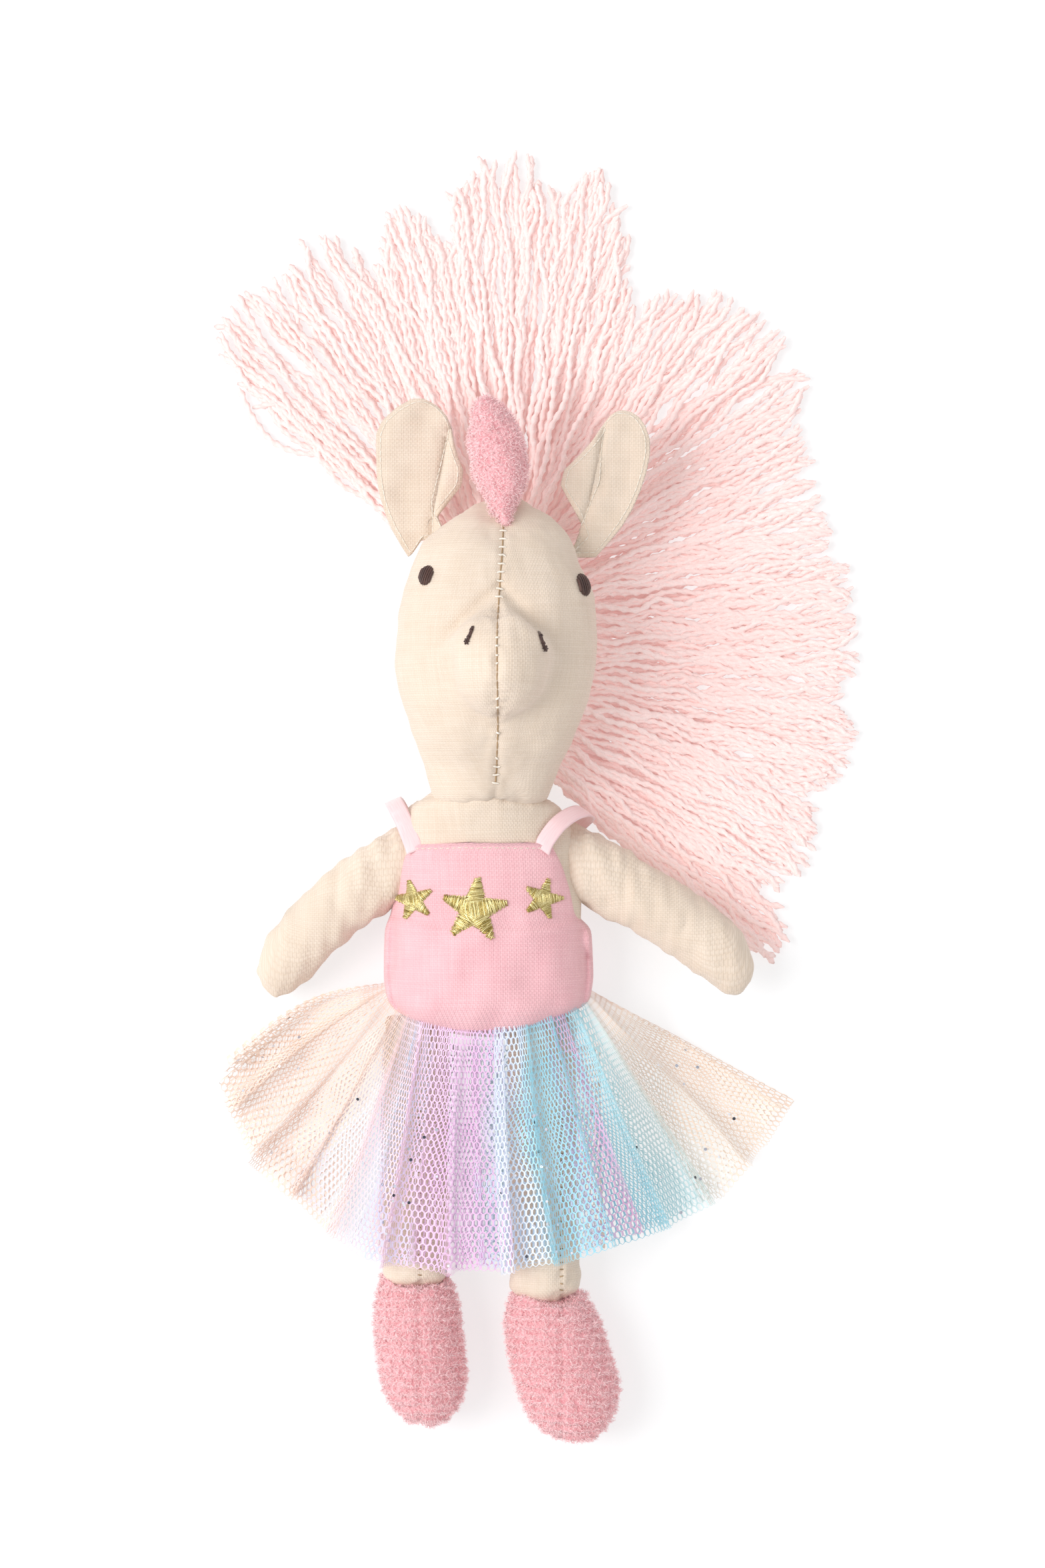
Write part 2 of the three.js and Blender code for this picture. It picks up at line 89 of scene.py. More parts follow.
class Slot(Enum):
    """The record's materials."""

    CALICO = "calico"
    PINK_COTTON = "pink_cotton"
    PINK_TERRY = "pink_terry"
    SATIN_RIBBON = "satin_ribbon"
    GOLD_THREAD = "gold_thread"
    BROWN_THREAD = "brown_thread"
    MANE_YARN = "mane_yarn"
    RAINBOW_TULLE = "rainbow_tulle"


# ---- Numbers and curves -----------------------------------------------------------------------


def smooth_step(low: float, high: float, value: np.ndarray) -> np.ndarray:
    """Eases from 0 at low to 1 at high."""
    share = np.clip((value - low) / (high - low), 0.0, 1.0)
    return share * share * (3.0 - 2.0 * share)


def ripple(points: np.ndarray, scale: float, seed: int, stretch: tuple = (1.0, 1.0, 1.0)) -> np.ndarray:
    """A smooth random field of unit size.

    Args:
        points: places in millimetres, one row each.
        scale: the usual width of a ripple in millimetres.
        seed: the field's random seed.
        stretch: how much longer the ripples are along each axis.

    Returns:
        One value for each point, with a standard deviation of about one.
    """
    rng = np.random.default_rng(seed)
    directions = rng.normal(size=(12, 3))
    directions /= np.linalg.norm(directions, axis=1)[:, None]
    waves = directions * (2.0 * math.pi / scale) * rng.uniform(0.6, 1.5, 12)[:, None]
    phases = rng.uniform(0.0, 2.0 * math.pi, 12)
    return np.sin((points / np.array(stretch)) @ waves.T + phases).sum(axis=1) * math.sqrt(2.0 / 12.0)


def through(controls: np.ndarray, count: int) -> np.ndarray:
    """A smooth curve through control points, resampled to evenly spaced points.

    Args:
        controls: the points that the curve passes through, one row each.
        count: how many points to return.

    Returns:
        Points along the curve, evenly spaced.
    """
    points = np.asarray(controls, float)
    ends = np.vstack([2 * points[0] - points[1], points, 2 * points[-1] - points[-2]])
    fine = []
    for i in range(1, len(ends) - 2):
        t = np.linspace(0.0, 1.0, 24, endpoint=i == len(ends) - 3)[:, None]
        a, b, c, d = ends[i - 1], ends[i], ends[i + 1], ends[i + 2]
        fine.append(
            0.5 * (2 * b + (c - a) * t + (2 * a - 5 * b + 4 * c - d) * t**2 + (3 * b - a - 3 * c + d) * t**3)
        )
    curve = np.vstack(fine)
    return resample(curve, count)


def resample(curve: np.ndarray, count: int) -> np.ndarray:
    """The same line with count evenly spaced points.

    Args:
        curve: the line of points.
        count: how many points to return.

    Returns:
        The evenly spaced points.
    """
    steps = np.linalg.norm(np.diff(curve, axis=0), axis=1)
    run = np.concatenate([[0.0], np.cumsum(steps)])
    wanted = np.linspace(0.0, run[-1], count)
    return np.column_stack([np.interp(wanted, run, curve[:, k]) for k in range(curve.shape[1])])


def length_of(curve: np.ndarray) -> float:
    """The length of a line of points."""
    return float(np.linalg.norm(np.diff(curve, axis=0), axis=1).sum())


# ---- Reading the frame ------------------------------------------------------------------------


def box_mm(*nodes: str) -> tuple[np.ndarray, np.ndarray]:
    """The lowest and highest corner of some CAD nodes together, in millimetres.

    Args:
        *nodes: the nodes' names.

    Returns:
        The two corners.
    """
    corners = [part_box(node) for node in nodes]
    low = np.min([np.array(c[0]) for c in corners], axis=0) / MM
    high = np.max([np.array(c[1]) for c in corners], axis=0) / MM
    return low, high


def node_arrays(node: str) -> tuple[np.ndarray, np.ndarray]:
    """A CAD node's merged vertices in millimetres and its triangles.

    Args:
        node: the node's name.

    Returns:
        The vertices and the rows of vertex numbers.
    """
    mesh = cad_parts[node].data
    points = np.empty(len(mesh.vertices) * 3)
    mesh.vertices.foreach_get("co", points)
    points = np.round(points.reshape(-1, 3) / MM, 3)
    unique, where = np.unique(points, axis=0, return_inverse=True)
    mesh.calc_loop_triangles()
    triangles = np.empty(len(mesh.loop_triangles) * 3, int)
    mesh.loop_triangles.foreach_get("vertices", triangles)
    return unique, where.reshape(-1)[triangles].reshape(-1, 3)


def plan_outline(node: str) -> np.ndarray:
    """The outline of a flat CAD node seen from above, as an ordered ring of points in millimetres.

    Args:
        node: the node's name.

    Returns:
        X and Y of each point of the ring.
    """
    points, triangles = node_arrays(node)
    top = points[:, 2].max()
    caps = triangles[(np.abs(points[triangles][:, :, 2] - top) < 0.01).all(axis=1)]
    edges = np.vstack([caps[:, [0, 1]], caps[:, [1, 2]], caps[:, [2, 0]]])
    pairs = {(int(a), int(b)) for a, b in edges}
    onward = {a: b for a, b in pairs if (b, a) not in pairs}
    start = next(iter(onward))
    ring = [start]
    while onward[ring[-1]] != start:
        ring.append(onward[ring[-1]])
    return points[ring][:, :2]


# ---- Making meshes ----------------------------------------------------------------------------


def add_mesh(name: str, points: np.ndarray, faces: list[np.ndarray], smooth: bool = True) -> Piece:
    """A new object from points in millimetres and arrays of faces.

    Args:
        name: the piece's name.
        points: vertex places in millimetres.
        faces: arrays of vertex numbers, each with one row per face.
        smooth: whether its faces are shaded smooth.

    Returns:
        The new object, at the origin.
    """
    mesh = bpy.data.meshes.new(name)
    faces = [f for f in faces if len(f)]
    loops = np.concatenate([f.ravel() for f in faces]).astype(np.int32)
    sizes = np.concatenate([np.full(len(f), f.shape[1]) for f in faces])
    starts = np.concatenate([[0], np.cumsum(sizes)[:-1]]).astype(np.int32)
    mesh.vertices.add(len(points))
    mesh.vertices.foreach_set("co", (np.asarray(points, float) * MM).ravel())
    mesh.loops.add(len(loops))
    mesh.loops.foreach_set("vertex_index", loops)
    mesh.polygons.add(len(sizes))
    mesh.polygons.foreach_set("loop_start", starts)
    mesh.polygons.foreach_set("use_smooth", np.full(len(sizes), smooth))
    mesh.update(calc_edges=True)
    mesh.validate()
    made = bpy.data.objects.new(name, mesh)
    bpy.context.scene.collection.objects.link(made)
    return made


def points_of(piece: Piece) -> np.ndarray:
    """A mesh's vertices in millimetres.

    Args:
        piece: the object.

    Returns:
        One row for each vertex.
    """
    points = np.empty(len(piece.data.vertices) * 3)
    piece.data.vertices.foreach_get("co", points)
    return points.reshape(-1, 3) / MM


def normals_of(piece: Piece) -> np.ndarray:
    """A mesh's vertex normals.

    Args:
        piece: the object.

    Returns:
        One row for each vertex.
    """
    normals = np.empty(len(piece.data.vertices) * 3)
    piece.data.vertices.foreach_get("normal", normals)
    return normals.reshape(-1, 3)


def place_points(piece: Piece, points: np.ndarray) -> None:
    """Moves a mesh's vertices to places in millimetres."""
    piece.data.vertices.foreach_set("co", (points * MM).ravel())
    piece.data.update()


def store(piece: Piece, name: str, values: np.ndarray) -> None:
    """Stores one number, or one vector, for each vertex under a name.

    Args:
        piece: the object.
        name: the attribute's name.
        values: one row for each vertex.
    """
    kind = "FLOAT" if values.ndim == 1 else "FLOAT_VECTOR"
    key = "value" if values.ndim == 1 else "vector"
    attribute = piece.data.attributes.new(name, kind, "POINT")
    attribute.data.foreach_set(key, values.astype(np.float32).ravel())


def store_colour(piece: Piece, name: str, colours: np.ndarray) -> None:
    """Stores one linear colour for each vertex under a name.

    Args:
        piece: the object.
        name: the attribute's name.
        colours: one row for each vertex.
    """
    attribute = piece.data.color_attributes.new(name, "FLOAT_COLOR", "POINT")
    rgba = np.column_stack([colours, np.ones(len(colours))])
    attribute.data.foreach_set("color", rgba.astype(np.float32).ravel())


def apply_modifier(piece: Piece, kind: str, **settings: object) -> None:
    """Adds a modifier with its settings and applies it.

    Args:
        piece: the object.
        kind: the modifier's type.
        **settings: the modifier's own properties.
    """
    modifier = piece.modifiers.new(kind.title(), kind)
    for key, value in settings.items():
        setattr(modifier, key, value)
    bpy.ops.object.select_all(action="DESELECT")
    piece.select_set(True)
    bpy.context.view_layer.objects.active = piece
    bpy.ops.object.modifier_apply(modifier=modifier.name)


def surface_of(piece: Piece) -> BVHTree:
    """A tree that rays in millimetres can be cast on.

    Args:
        piece: the object.

    Returns:
        The tree.
    """
    points = points_of(piece)
    piece.data.calc_loop_triangles()
    triangles = [tuple(t.vertices) for t in piece.data.loop_triangles]
    return BVHTree.FromPolygons([Vector(p) for p in points], triangles)


def grid_faces(rows: int, columns: int, closed: bool = False, first: int = 0) -> np.ndarray:
    """Quads of a grid of vertices stored row by row.

    Args:
        rows: how many rows of vertices.
        columns: how many vertices in a row.
        closed: whether each row is a ring.
        first: the number of the grid's first vertex.

    Returns:
        An array of quads, facing up if rows run along X and columns along Y.
    """
    r = np.arange(rows - 1)[:, None]
    c = np.arange(columns if closed else columns - 1)[None, :]
    onward = (c + 1) % columns
    quads = np.stack(
        [r * columns + c, (r + 1) * columns + c, (r + 1) * columns + onward, r * columns + onward], axis=-1
    )
    return quads.reshape(-1, 4) + first


@dataclass
class Bundle:
    """Many small closed shapes gathered into one mesh."""

    points: list = field(default_factory=list)
    quads: list = field(default_factory=list)
    triangles: list = field(default_factory=list)
    shades: list = field(default_factory=list)
    count: int = 0

    def add_tube(self, rings: np.ndarray, shade: float = 0.5) -> None:
        """Adds a closed tube.

        Args:
            rings: an array of rings, each of as many points, in millimetres.
            shade: a number that the material may read, from 0 to 1.
        """
        rows, sides = rings.shape[:2]
        ends = np.array([rings[0].mean(axis=0), rings[-1].mean(axis=0)])
        self.points.append(np.vstack([rings.reshape(-1, 3), ends]))
        self.quads.append(grid_faces(rows, sides, closed=True, first=self.count)[:, ::-1])
        around = np.arange(sides)
        onward = (around + 1) % sides
        low = self.count + rows * sides
        last = self.count + (rows - 1) * sides
        first = self.count + around
        self.triangles.append(np.column_stack([first, self.count + onward, np.full(sides, low)]))
        self.triangles.append(np.column_stack([last + onward, last + around, np.full(sides, low + 1)]))
        self.shades.append(np.full(rows * sides + 2, shade))
        self.count += rows * sides + 2

    def build(self, name: str) -> Piece:
        """The gathered shapes as one object, with their shades stored as the attribute shade.

        Args:
            name: the piece's name.

        Returns:
            The new object.
        """
        made = add_mesh(name, np.vstack(self.points), [np.vstack(self.quads), np.vstack(self.triangles)])
        store(made, "shade", np.concatenate(self.shades))
        return made


def tube_rings(
    path: np.ndarray, radii: np.ndarray, section: np.ndarray, turns: np.ndarray | float = 0.0
) -> np.ndarray:
    """Rings of a tube along a path that never runs straight up.

    Args:
        path: centre points in millimetres.
        radii: one radius for each path point.
        section: relative radius for each point round the section.
        turns: the section's turn at each path point, in radians.

    Returns:
        An array of rings of points.
    """
    tangent = np.gradient(path, axis=0)
    tangent /= np.linalg.norm(tangent, axis=1)[:, None] + 1e-9
    side = np.cross(UP, tangent)
    side /= np.linalg.norm(side, axis=1)[:, None] + 1e-9
    above = np.cross(tangent, side)
    angles = np.linspace(0.0, 2.0 * math.pi, len(section), endpoint=False)[None, :]
    angles = angles + np.reshape(turns, (-1, 1))
    reach = np.asarray(radii)[:, None] * section[None, :]
    across = (np.cos(angles) * reach)[:, :, None] * side[:, None, :]
    along = (np.sin(angles) * reach)[:, :, None] * above[:, None, :]
    return path[:, None, :] + across + along


ROUND = np.ones(6)


def thread(bundle: Bundle, path: np.ndarray, radius: float, shade: float = 0.5) -> None:
    """Adds a round thread with tapered ends to a bundle.

    Args:
        bundle: the mesh that takes it.
        path: centre points in millimetres.
        radius: in millimetres.
        shade: its own tone, from 0 to 1.
    """
    share = np.linspace(0.0, 1.0, len(path))
    taper = np.sqrt(np.clip(1.0 - (2.0 * share - 1.0) ** 8, 0.05, 1.0))
    bundle.add_tube(tube_rings(path, radius * taper, ROUND), shade)


# ---- Finishes ---------------------------------------------------------------------------------


def linear(hex_colour: str) -> tuple[float, float, float, float]:
    """An sRGB hex colour as linear light."""
    channels = [int(hex_colour[i : i + 2], 16) / 255.0 for i in (1, 3, 5)]
    return (*[c / 12.92 if c <= 0.04045 else ((c + 0.055) / 1.055) ** 2.4 for c in channels], 1.0)


def fill(tree: bpy.types.NodeTree, node: bpy.types.Node, inputs: dict) -> None:
    """Sets a node's inputs to values, or links them to other nodes' sockets."""
    for key, value in inputs.items():
        if isinstance(value, bpy.types.NodeSocket):
            tree.links.new(value, node.inputs[key])
        else:
            node.inputs[key].default_value = value


def add_node(
    tree: bpy.types.NodeTree, kind: str, inputs: dict, output: int | str = 0, **settings: object
) -> bpy.types.NodeSocket:
    """Adds a node with its settings and links.

    Args:
        tree: the material's nodes.
        kind: the node's type.
        inputs: a value or another node's socket for each input that is filled.
        output: which output to give back.
        **settings: the node's own properties.

    Returns:
        The chosen output socket.
    """
    made = tree.nodes.new(kind)
    for key, value in settings.items():
        setattr(made, key, value)
    fill(tree, made, inputs)
    return made.outputs[output]


@dataclass(frozen=True)
class Finish:
    """What a piece is made of; each kind below draws its own surface."""

    name: str
    slot: Slot
    colour: str = "#FFFFFF"
    shadow: str = "#FFFFFF"

    def material(self) -> bpy.types.Material:
        """Builds the material, with only a Principled shader whose inputs the kind of finish fills.

        Returns:
            The material.
        """
        made = bpy.data.materials.new(self.name)
        made.use_nodes = True
        fill(made.node_tree, made.node_tree.nodes["Principled BSDF"], self.surface(made.node_tree))
        return made

    def surface(self, tree: bpy.types.NodeTree) -> dict:
        """Adds the finish's nodes and gives the shader's inputs by name."""
        raise NotImplementedError


@dataclass(frozen=True)
class WovenCloth(Finish):
    """Plain-weave cotton, such as calico or dress cotton.

    The crossing threads give a fine matt grain, and thick and thin places in the yarn give faint
    streaks along both thread directions. The hollows between the crossing threads are painted darker,
    as shade. The thread pitch is drawn about one and a half times as coarse as the real 0.38 mm, so
    that it shows.
    """

    pitch_mm: float = 0.56
    relief: float = 0.55
    mottle: float = 0.5
    sheen: float = 0.25

    def surface(self, tree: bpy.types.NodeTree) -> dict:
        """Adds the weave, which lies on the cloth coordinates stored on each piece.

        Args:
            tree: the material's nodes.

        Returns:
            The shader's inputs by name.
        """
        cloth = add_node(tree, "ShaderNodeAttribute", {}, "Vector", attribute_name="cloth")
        wave = {"Vector": cloth, "Scale": math.pi / (10.0 * self.pitch_mm), "Distortion": 0.6,
                "Detail": 1.0, "Detail Scale": 1.0}
        warp, weft = (
            add_node(tree, "ShaderNodeTexWave", wave, "Fac", wave_type="BANDS", bands_direction=axis)
            for axis in "XY"
        )
        squares = {"Vector": cloth, "Scale": 1.0 / self.pitch_mm}
        checks = add_node(tree, "ShaderNodeTexChecker", squares, "Fac")
        weave = add_node(tree, "ShaderNodeMix", {"Factor": checks, "A": warp, "B": weft}, data_type="FLOAT")
        slubs = []
        for stretch in ((1.0, 0.05, 1.0), (0.05, 1.0, 1.0)):
            along = add_node(tree, "ShaderNodeMapping", {"Vector": cloth, "Scale": stretch})
            slubs.append(
                add_node(tree, "ShaderNodeTexNoise", {"Vector": along, "Scale": 1.7, "Detail": 2.0}, "Fac")
            )
        slub = add_node(tree, "ShaderNodeMath", dict(enumerate(slubs)), operation="ADD")
        spots = add_node(tree, "ShaderNodeTexNoise", {"Vector": cloth, "Scale": 0.09, "Detail": 4.0}, "Fac")
        tone = add_node(tree, "ShaderNodeMath", {0: slub, 1: spots}, operation="ADD")
        streaks = {"Value": tone, "From Min": 1.1, "From Max": 1.9, "To Max": self.mottle}
        share = add_node(tree, "ShaderNodeMapRange", streaks)
        colours = {0: share, 6: linear(self.colour), 7: linear(self.shadow)}
        ground = add_node(tree, "ShaderNodeMix", colours, 2, data_type="RGBA")
        # Painted shade: the hollows between the crossing threads are darkened towards the shadow colour.
        gaps = {"Value": weave, "From Max": 0.7, "To Min": 0.34, "To Max": 0.0}
        colours = {0: add_node(tree, "ShaderNodeMapRange", gaps), 6: ground, 7: linear(self.shadow)}
        height = add_node(tree, "ShaderNodeMath", {0: weave, 1: slub}, operation="ADD")
        relief = {"Height": height, "Strength": self.relief, "Distance": 0.12 * MM}
        return {
            "Base Color": add_node(tree, "ShaderNodeMix", colours, 2, data_type="RGBA"),
            "Normal": add_node(tree, "ShaderNodeBump", relief),
            "Roughness": 0.9, "Sheen Weight": self.sheen, "Sheen Roughness": 0.6,
        }


@dataclass(frozen=True)
class SpunThread(Finish):
    """Yarn or thread modelled strand by strand, so the material adds only tone, fuzz and a painted glow.

    Each strand has its own tone and a sheen that softens its edge; on the boots' pile the tone also
    holds painted shade, darker in the furrows between the ribs. A faint painted glow stands for the
    light that fluffy yarn passes from strand to strand, which keeps its hollows pale.
    """

    roughness: float = 0.85
    sheen: float = 0.6
    metallic: float = 0.0
    grain_mm: float = 0.5
    glow: float = 0.0

    def surface(self, tree: bpy.types.NodeTree) -> dict:
        """Adds the fibres, toned by the shade stored on each strand.

        Args:
            tree: the material's nodes.

        Returns:
            The shader's inputs by name.
        """
        place = add_node(tree, "ShaderNodeTexCoord", {}, "Object")
        shade = add_node(tree, "ShaderNodeAttribute", {}, "Fac", attribute_name="shade")
        grain = {"Vector": place, "Scale": 1.0 / (self.grain_mm * MM), "Detail": 2.0}
        fibres = add_node(tree, "ShaderNodeTexNoise", grain, "Fac")
        both = add_node(tree, "ShaderNodeMath", {0: shade, 1: fibres}, operation="MULTIPLY")
        share = add_node(tree, "ShaderNodeMapRange", {"Value": both, "From Max": 0.6})
        colours = {0: share, 6: linear(self.shadow), 7: linear(self.colour)}
        relief = {"Height": fibres, "Strength": 0.35, "Distance": 0.08 * MM}
        # Painted light: a faint glow in the shadow colour lifts the strands' hollows.
        return {
            "Base Color": add_node(tree, "ShaderNodeMix", colours, 2, data_type="RGBA"),
            "Normal": add_node(tree, "ShaderNodeBump", relief),
            "Roughness": self.roughness, "Metallic": self.metallic,
            "Sheen Weight": self.sheen, "Sheen Roughness": 0.5,
            "Emission Color": linear(self.shadow), "Emission Strength": self.glow,
        }


@dataclass(frozen=True)
class TerryPile(Finish):
    """Ribbed terry: rows of looped pile whose furrows are painted darker as shade, leaving lighter tips."""

    def surface(self, tree: bpy.types.NodeTree) -> dict:
        """Adds the loops, which lie on the cloth coordinates stored on each piece.

        Args:
            tree: the material's nodes.

        Returns:
            The shader's inputs by name.
        """
        cloth = add_node(tree, "ShaderNodeAttribute", {}, "Vector", attribute_name="cloth")
        loops = add_node(tree, "ShaderNodeTexVoronoi", {"Vector": cloth, "Scale": 1.5}, "Distance")
        fluff = add_node(tree, "ShaderNodeTexNoise", {"Vector": cloth, "Scale": 2.6, "Detail": 4.0}, "Fac")
        # Painted shade: low places between the loops take the shadow colour; the fluff noise adds random
        # tone.
        tone = add_node(tree, "ShaderNodeMath", {0: loops, 1: fluff}, operation="SUBTRACT")
        share = add_node(tree, "ShaderNodeMapRange", {"Value": tone, "From Min": -0.5, "From Max": 0.5})
        colours = {0: share, 6: linear(self.colour), 7: linear(self.shadow)}
        relief = {"Height": tone, "Strength": 0.8, "Distance": 0.4 * MM}
        return {
            "Base Color": add_node(tree, "ShaderNodeMix", colours, 2, data_type="RGBA"),
            "Normal": add_node(tree, "ShaderNodeBump", relief, invert=True),
            "Roughness": 0.95, "Sheen Weight": 0.6, "Sheen Roughness": 0.5,
        }


@dataclass(frozen=True)
class NylonNet(Finish):
    """Dyed nylon net: thin glossy threads whose colour follows the cloth's printed bands."""

    def surface(self, tree: bpy.types.NodeTree) -> dict:
        """Adds the dye stored on the cloth, a little uneven.

        Args:
            tree: the material's nodes.

        Returns:
            The shader's inputs by name.
        """
        dye = add_node(tree, "ShaderNodeAttribute", {}, "Color", attribute_name="dye")
        place = add_node(tree, "ShaderNodeTexCoord", {}, "Object")
        uneven = add_node(tree, "ShaderNodeTexNoise", {"Vector": place, "Scale": 160.0, "Detail": 2.0}, "Fac")
        share = add_node(tree, "ShaderNodeMapRange", {"Value": uneven, "To Max": 0.3})
        colours = {0: share, 6: dye, 7: linear("#FFFFFF")}
        return {
            "Base Color": add_node(tree, "ShaderNodeMix", colours, 2, data_type="RGBA"),
            "Roughness": 0.45, "Sheen Weight": 0.2,
        }


@dataclass(frozen=True)
class SatinRibbon(Finish):
    """Woven polyester satin: long floats; a soft streaked gloss painted into its colour along the ribbon."""

    def surface(self, tree: bpy.types.NodeTree) -> dict:
        """Adds the floats, which run along the cloth coordinates stored on each piece.

        Args:
            tree: the material's nodes.

        Returns:
            The shader's inputs by name.
        """
        cloth = add_node(tree, "ShaderNodeAttribute", {}, "Vector", attribute_name="cloth")
        along = add_node(tree, "ShaderNodeMapping", {"Vector": cloth, "Scale": (4.0, 0.25, 1.0)})
        floats = add_node(tree, "ShaderNodeTexNoise", {"Vector": along, "Scale": 1.0, "Detail": 3.0}, "Fac")
        # Painted sheen: the floats' noise streaks the colour lighter and darker along the ribbon.
        colours = {0: floats, 6: linear(self.shadow), 7: linear(self.colour)}
        relief = {"Height": floats, "Strength": 0.4, "Distance": 0.06 * MM}
        return {
            "Base Color": add_node(tree, "ShaderNodeMix", colours, 2, data_type="RGBA"),
            "Normal": add_node(tree, "ShaderNodeBump", relief),
            "Roughness": 0.38, "Sheen Weight": 0.3, "Anisotropic": 0.5,
        }


@dataclass(frozen=True)
class Glitter(Finish):
    """Punched foil dots: flat, bright and metallic, with flashes and dark flecks painted into the colour."""

    metallic: float = 0.6

    def surface(self, tree: bpy.types.NodeTree) -> dict:
        """Adds the foil's painted glint and gives the shader's inputs by name.

        Args:
            tree: the material's nodes.

        Returns:
            The shader's inputs by name.
        """
        place = add_node(tree, "ShaderNodeTexCoord", {}, "Object")
        painted_glint = add_node(tree, "ShaderNodeTexNoise", {"Vector": place, "Scale": 900.0}, "Fac")
        # Painted glint: random flecks of the second colour stand for the foil's flashes and dark spots.
        colours = {0: painted_glint, 6: linear(self.colour), 7: linear(self.shadow)}
        colour = add_node(tree, "ShaderNodeMix", colours, 2, data_type="RGBA")
        return {"Base Color": colour, "Roughness": 0.2, "Metallic": self.metallic}


# Each finish's second colour gives its random tone and is partly painted light: shade in the weave's hollows
# and the terry's furrows, the satin's sheen, the foil's glint, and the glow of yarn and pile.
CALICO = WovenCloth("unbleached_calico", Slot.CALICO, "#EADACA", "#CFB89F", mottle=0.4)
DRESS_COTTON = WovenCloth("pink_dress_cotton", Slot.PINK_COTTON, "#F7C6CB", "#E5A3AC", mottle=0.5, relief=0.7)
TERRY = TerryPile("ribbed_pink_terry", Slot.PINK_TERRY, "#FDD0D3", "#E699A1")
TERRY_FIBRE = SpunThread("terry_pile_fibre", Slot.PINK_TERRY, "#FFF2F2", "#F8BABE", sheen=0.6, glow=0.17)
MANE_YARN = SpunThread("two_ply_mane_yarn", Slot.MANE_YARN, "#F5DFDC", "#F2D0CC", sheen=0.35, glow=0.16)
GOLD_THREAD = SpunThread(
    "metallised_gold_thread", Slot.GOLD_THREAD, "#F2E6AE", "#A58F4C", 0.36, 0.0, metallic=0.8, grain_mm=0.3
)
BROWN_THREAD = SpunThread(
    "brown_embroidery_thread", Slot.BROWN_THREAD, "#5A392F", "#3A211B", roughness=0.5, sheen=0.2
)
PALE_THREAD = SpunThread("pale_sewing_thread", Slot.CALICO, "#F6F0E6", "#DCCDB8", roughness=0.6, sheen=0.2)
TAN_THREAD = SpunThread("tan_sewing_thread", Slot.CALICO, "#B5946B", "#8C6F4D", roughness=0.6, sheen=0.2)
NET = NylonNet("dyed_nylon_net", Slot.RAINBOW_TULLE)
RIBBON = SatinRibbon("pale_pink_satin_ribbon", Slot.SATIN_RIBBON, "#FBE3E4", "#EDBDC2")
SILVER_DOT = Glitter("silver_foil_dot", Slot.RAINBOW_TULLE, "#E8EAF4", "#9AA0B4", 0.9)
BLACK_DOT = Glitter("dark_foil_dot", Slot.RAINBOW_TULLE, "#2A2C33", "#5A5E6B")
WHITE_DOT = Glitter("pearl_foil_dot", Slot.RAINBOW_TULLE, "#FFFFFF", "#C9D0E2", 0.2)

MATERIALS: dict[str, bpy.types.Material] = {}


def dress(piece: Piece, finish: Finish) -> Piece:
    """Gives a piece its finish and reports the piece.

    Args:
        piece: the finished mesh.
        finish: what it is made of.

    Returns:
        The same piece.
    """
    if finish.name not in MATERIALS:
        MATERIALS[finish.name] = finish.material()
    piece.data.materials.clear()
    piece.data.materials.append(MATERIALS[finish.name])
    log.info("%s: %s, %d faces", piece.name, finish.name, len(piece.data.polygons))
    return piece


def bend(piece: Piece) -> None:
    """Bakes a piece's transform into its mesh."""
    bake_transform(piece)


def drop(surface: BVHTree, x: float, y: float, lift: float = 0.0) -> np.ndarray | None:
    """The highest point of a surface at a place seen from above, moved out along its normal.

    Args:
        surface: the surface's tree.
        x: the place's X in millimetres.
        y: the place's Y in millimetres.
        lift: how far above the surface, in millimetres.

    Returns:
        The point, or nothing where the surface doesn't reach.
    """
    hit = surface.ray_cast(Vector((x, y, SKY_MM)), Vector(-UP))
    if hit[0] is None:
        return None
    normal = np.array(hit[1])
    return np.array(hit[0]) + (normal if normal[2] > 0 else -normal) * lift


def stitch(
    bundle: Bundle, surface: BVHTree, places: list, lifts: list, radius: float, shade: float, fine: int = 6
) -> None:
    """One thread laid on a surface through places seen from above; skipped where it would miss it.

    Args:
        bundle: the mesh that takes the thread.
        surface: the surface's tree.
        places: X and Y of each place in millimetres.
        lifts: the thread's height above the surface at each place.
        radius: the thread's radius in millimetres.
        shade: the thread's own tone, from 0 to 1.
        fine: how many rings the thread has.
    """
    path = [drop(surface, x, y, lift) for (x, y), lift in zip(places, lifts)]
    if all(point is not None for point in path):
        thread(bundle, through(np.array(path), fine), radius, shade)


# ---- Stuffed parts ----------------------------------------------------------------------------


def hull_of(name: str, nodes: list[str]) -> Piece:
    """The convex outer form of some CAD nodes, as one closed mesh.

    Args:
        name: the piece's name.
        nodes: the nodes' names.

    Returns:
        The new object.
    """
    shape = bmesh.new()
    for node in nodes:
        for point in node_arrays(node)[0]:
            shape.verts.new(point * MM)
    made = bmesh.ops.convex_hull(shape, input=shape.verts)
    bmesh.ops.delete(shape, geom=made["geom_interior"], context="VERTS")
    mesh = bpy.data.meshes.new(name)
    shape.to_mesh(mesh)
    shape.free()
    piece = bpy.data.objects.new(name, mesh)
    bpy.context.scene.collection.objects.link(piece)
    return piece


def copy_of(name: str, node: str) -> Piece:
    """A CAD node's mesh as a new object with its vertices merged."""
    points, triangles = node_arrays(node)
    return add_mesh(name, points, [triangles])


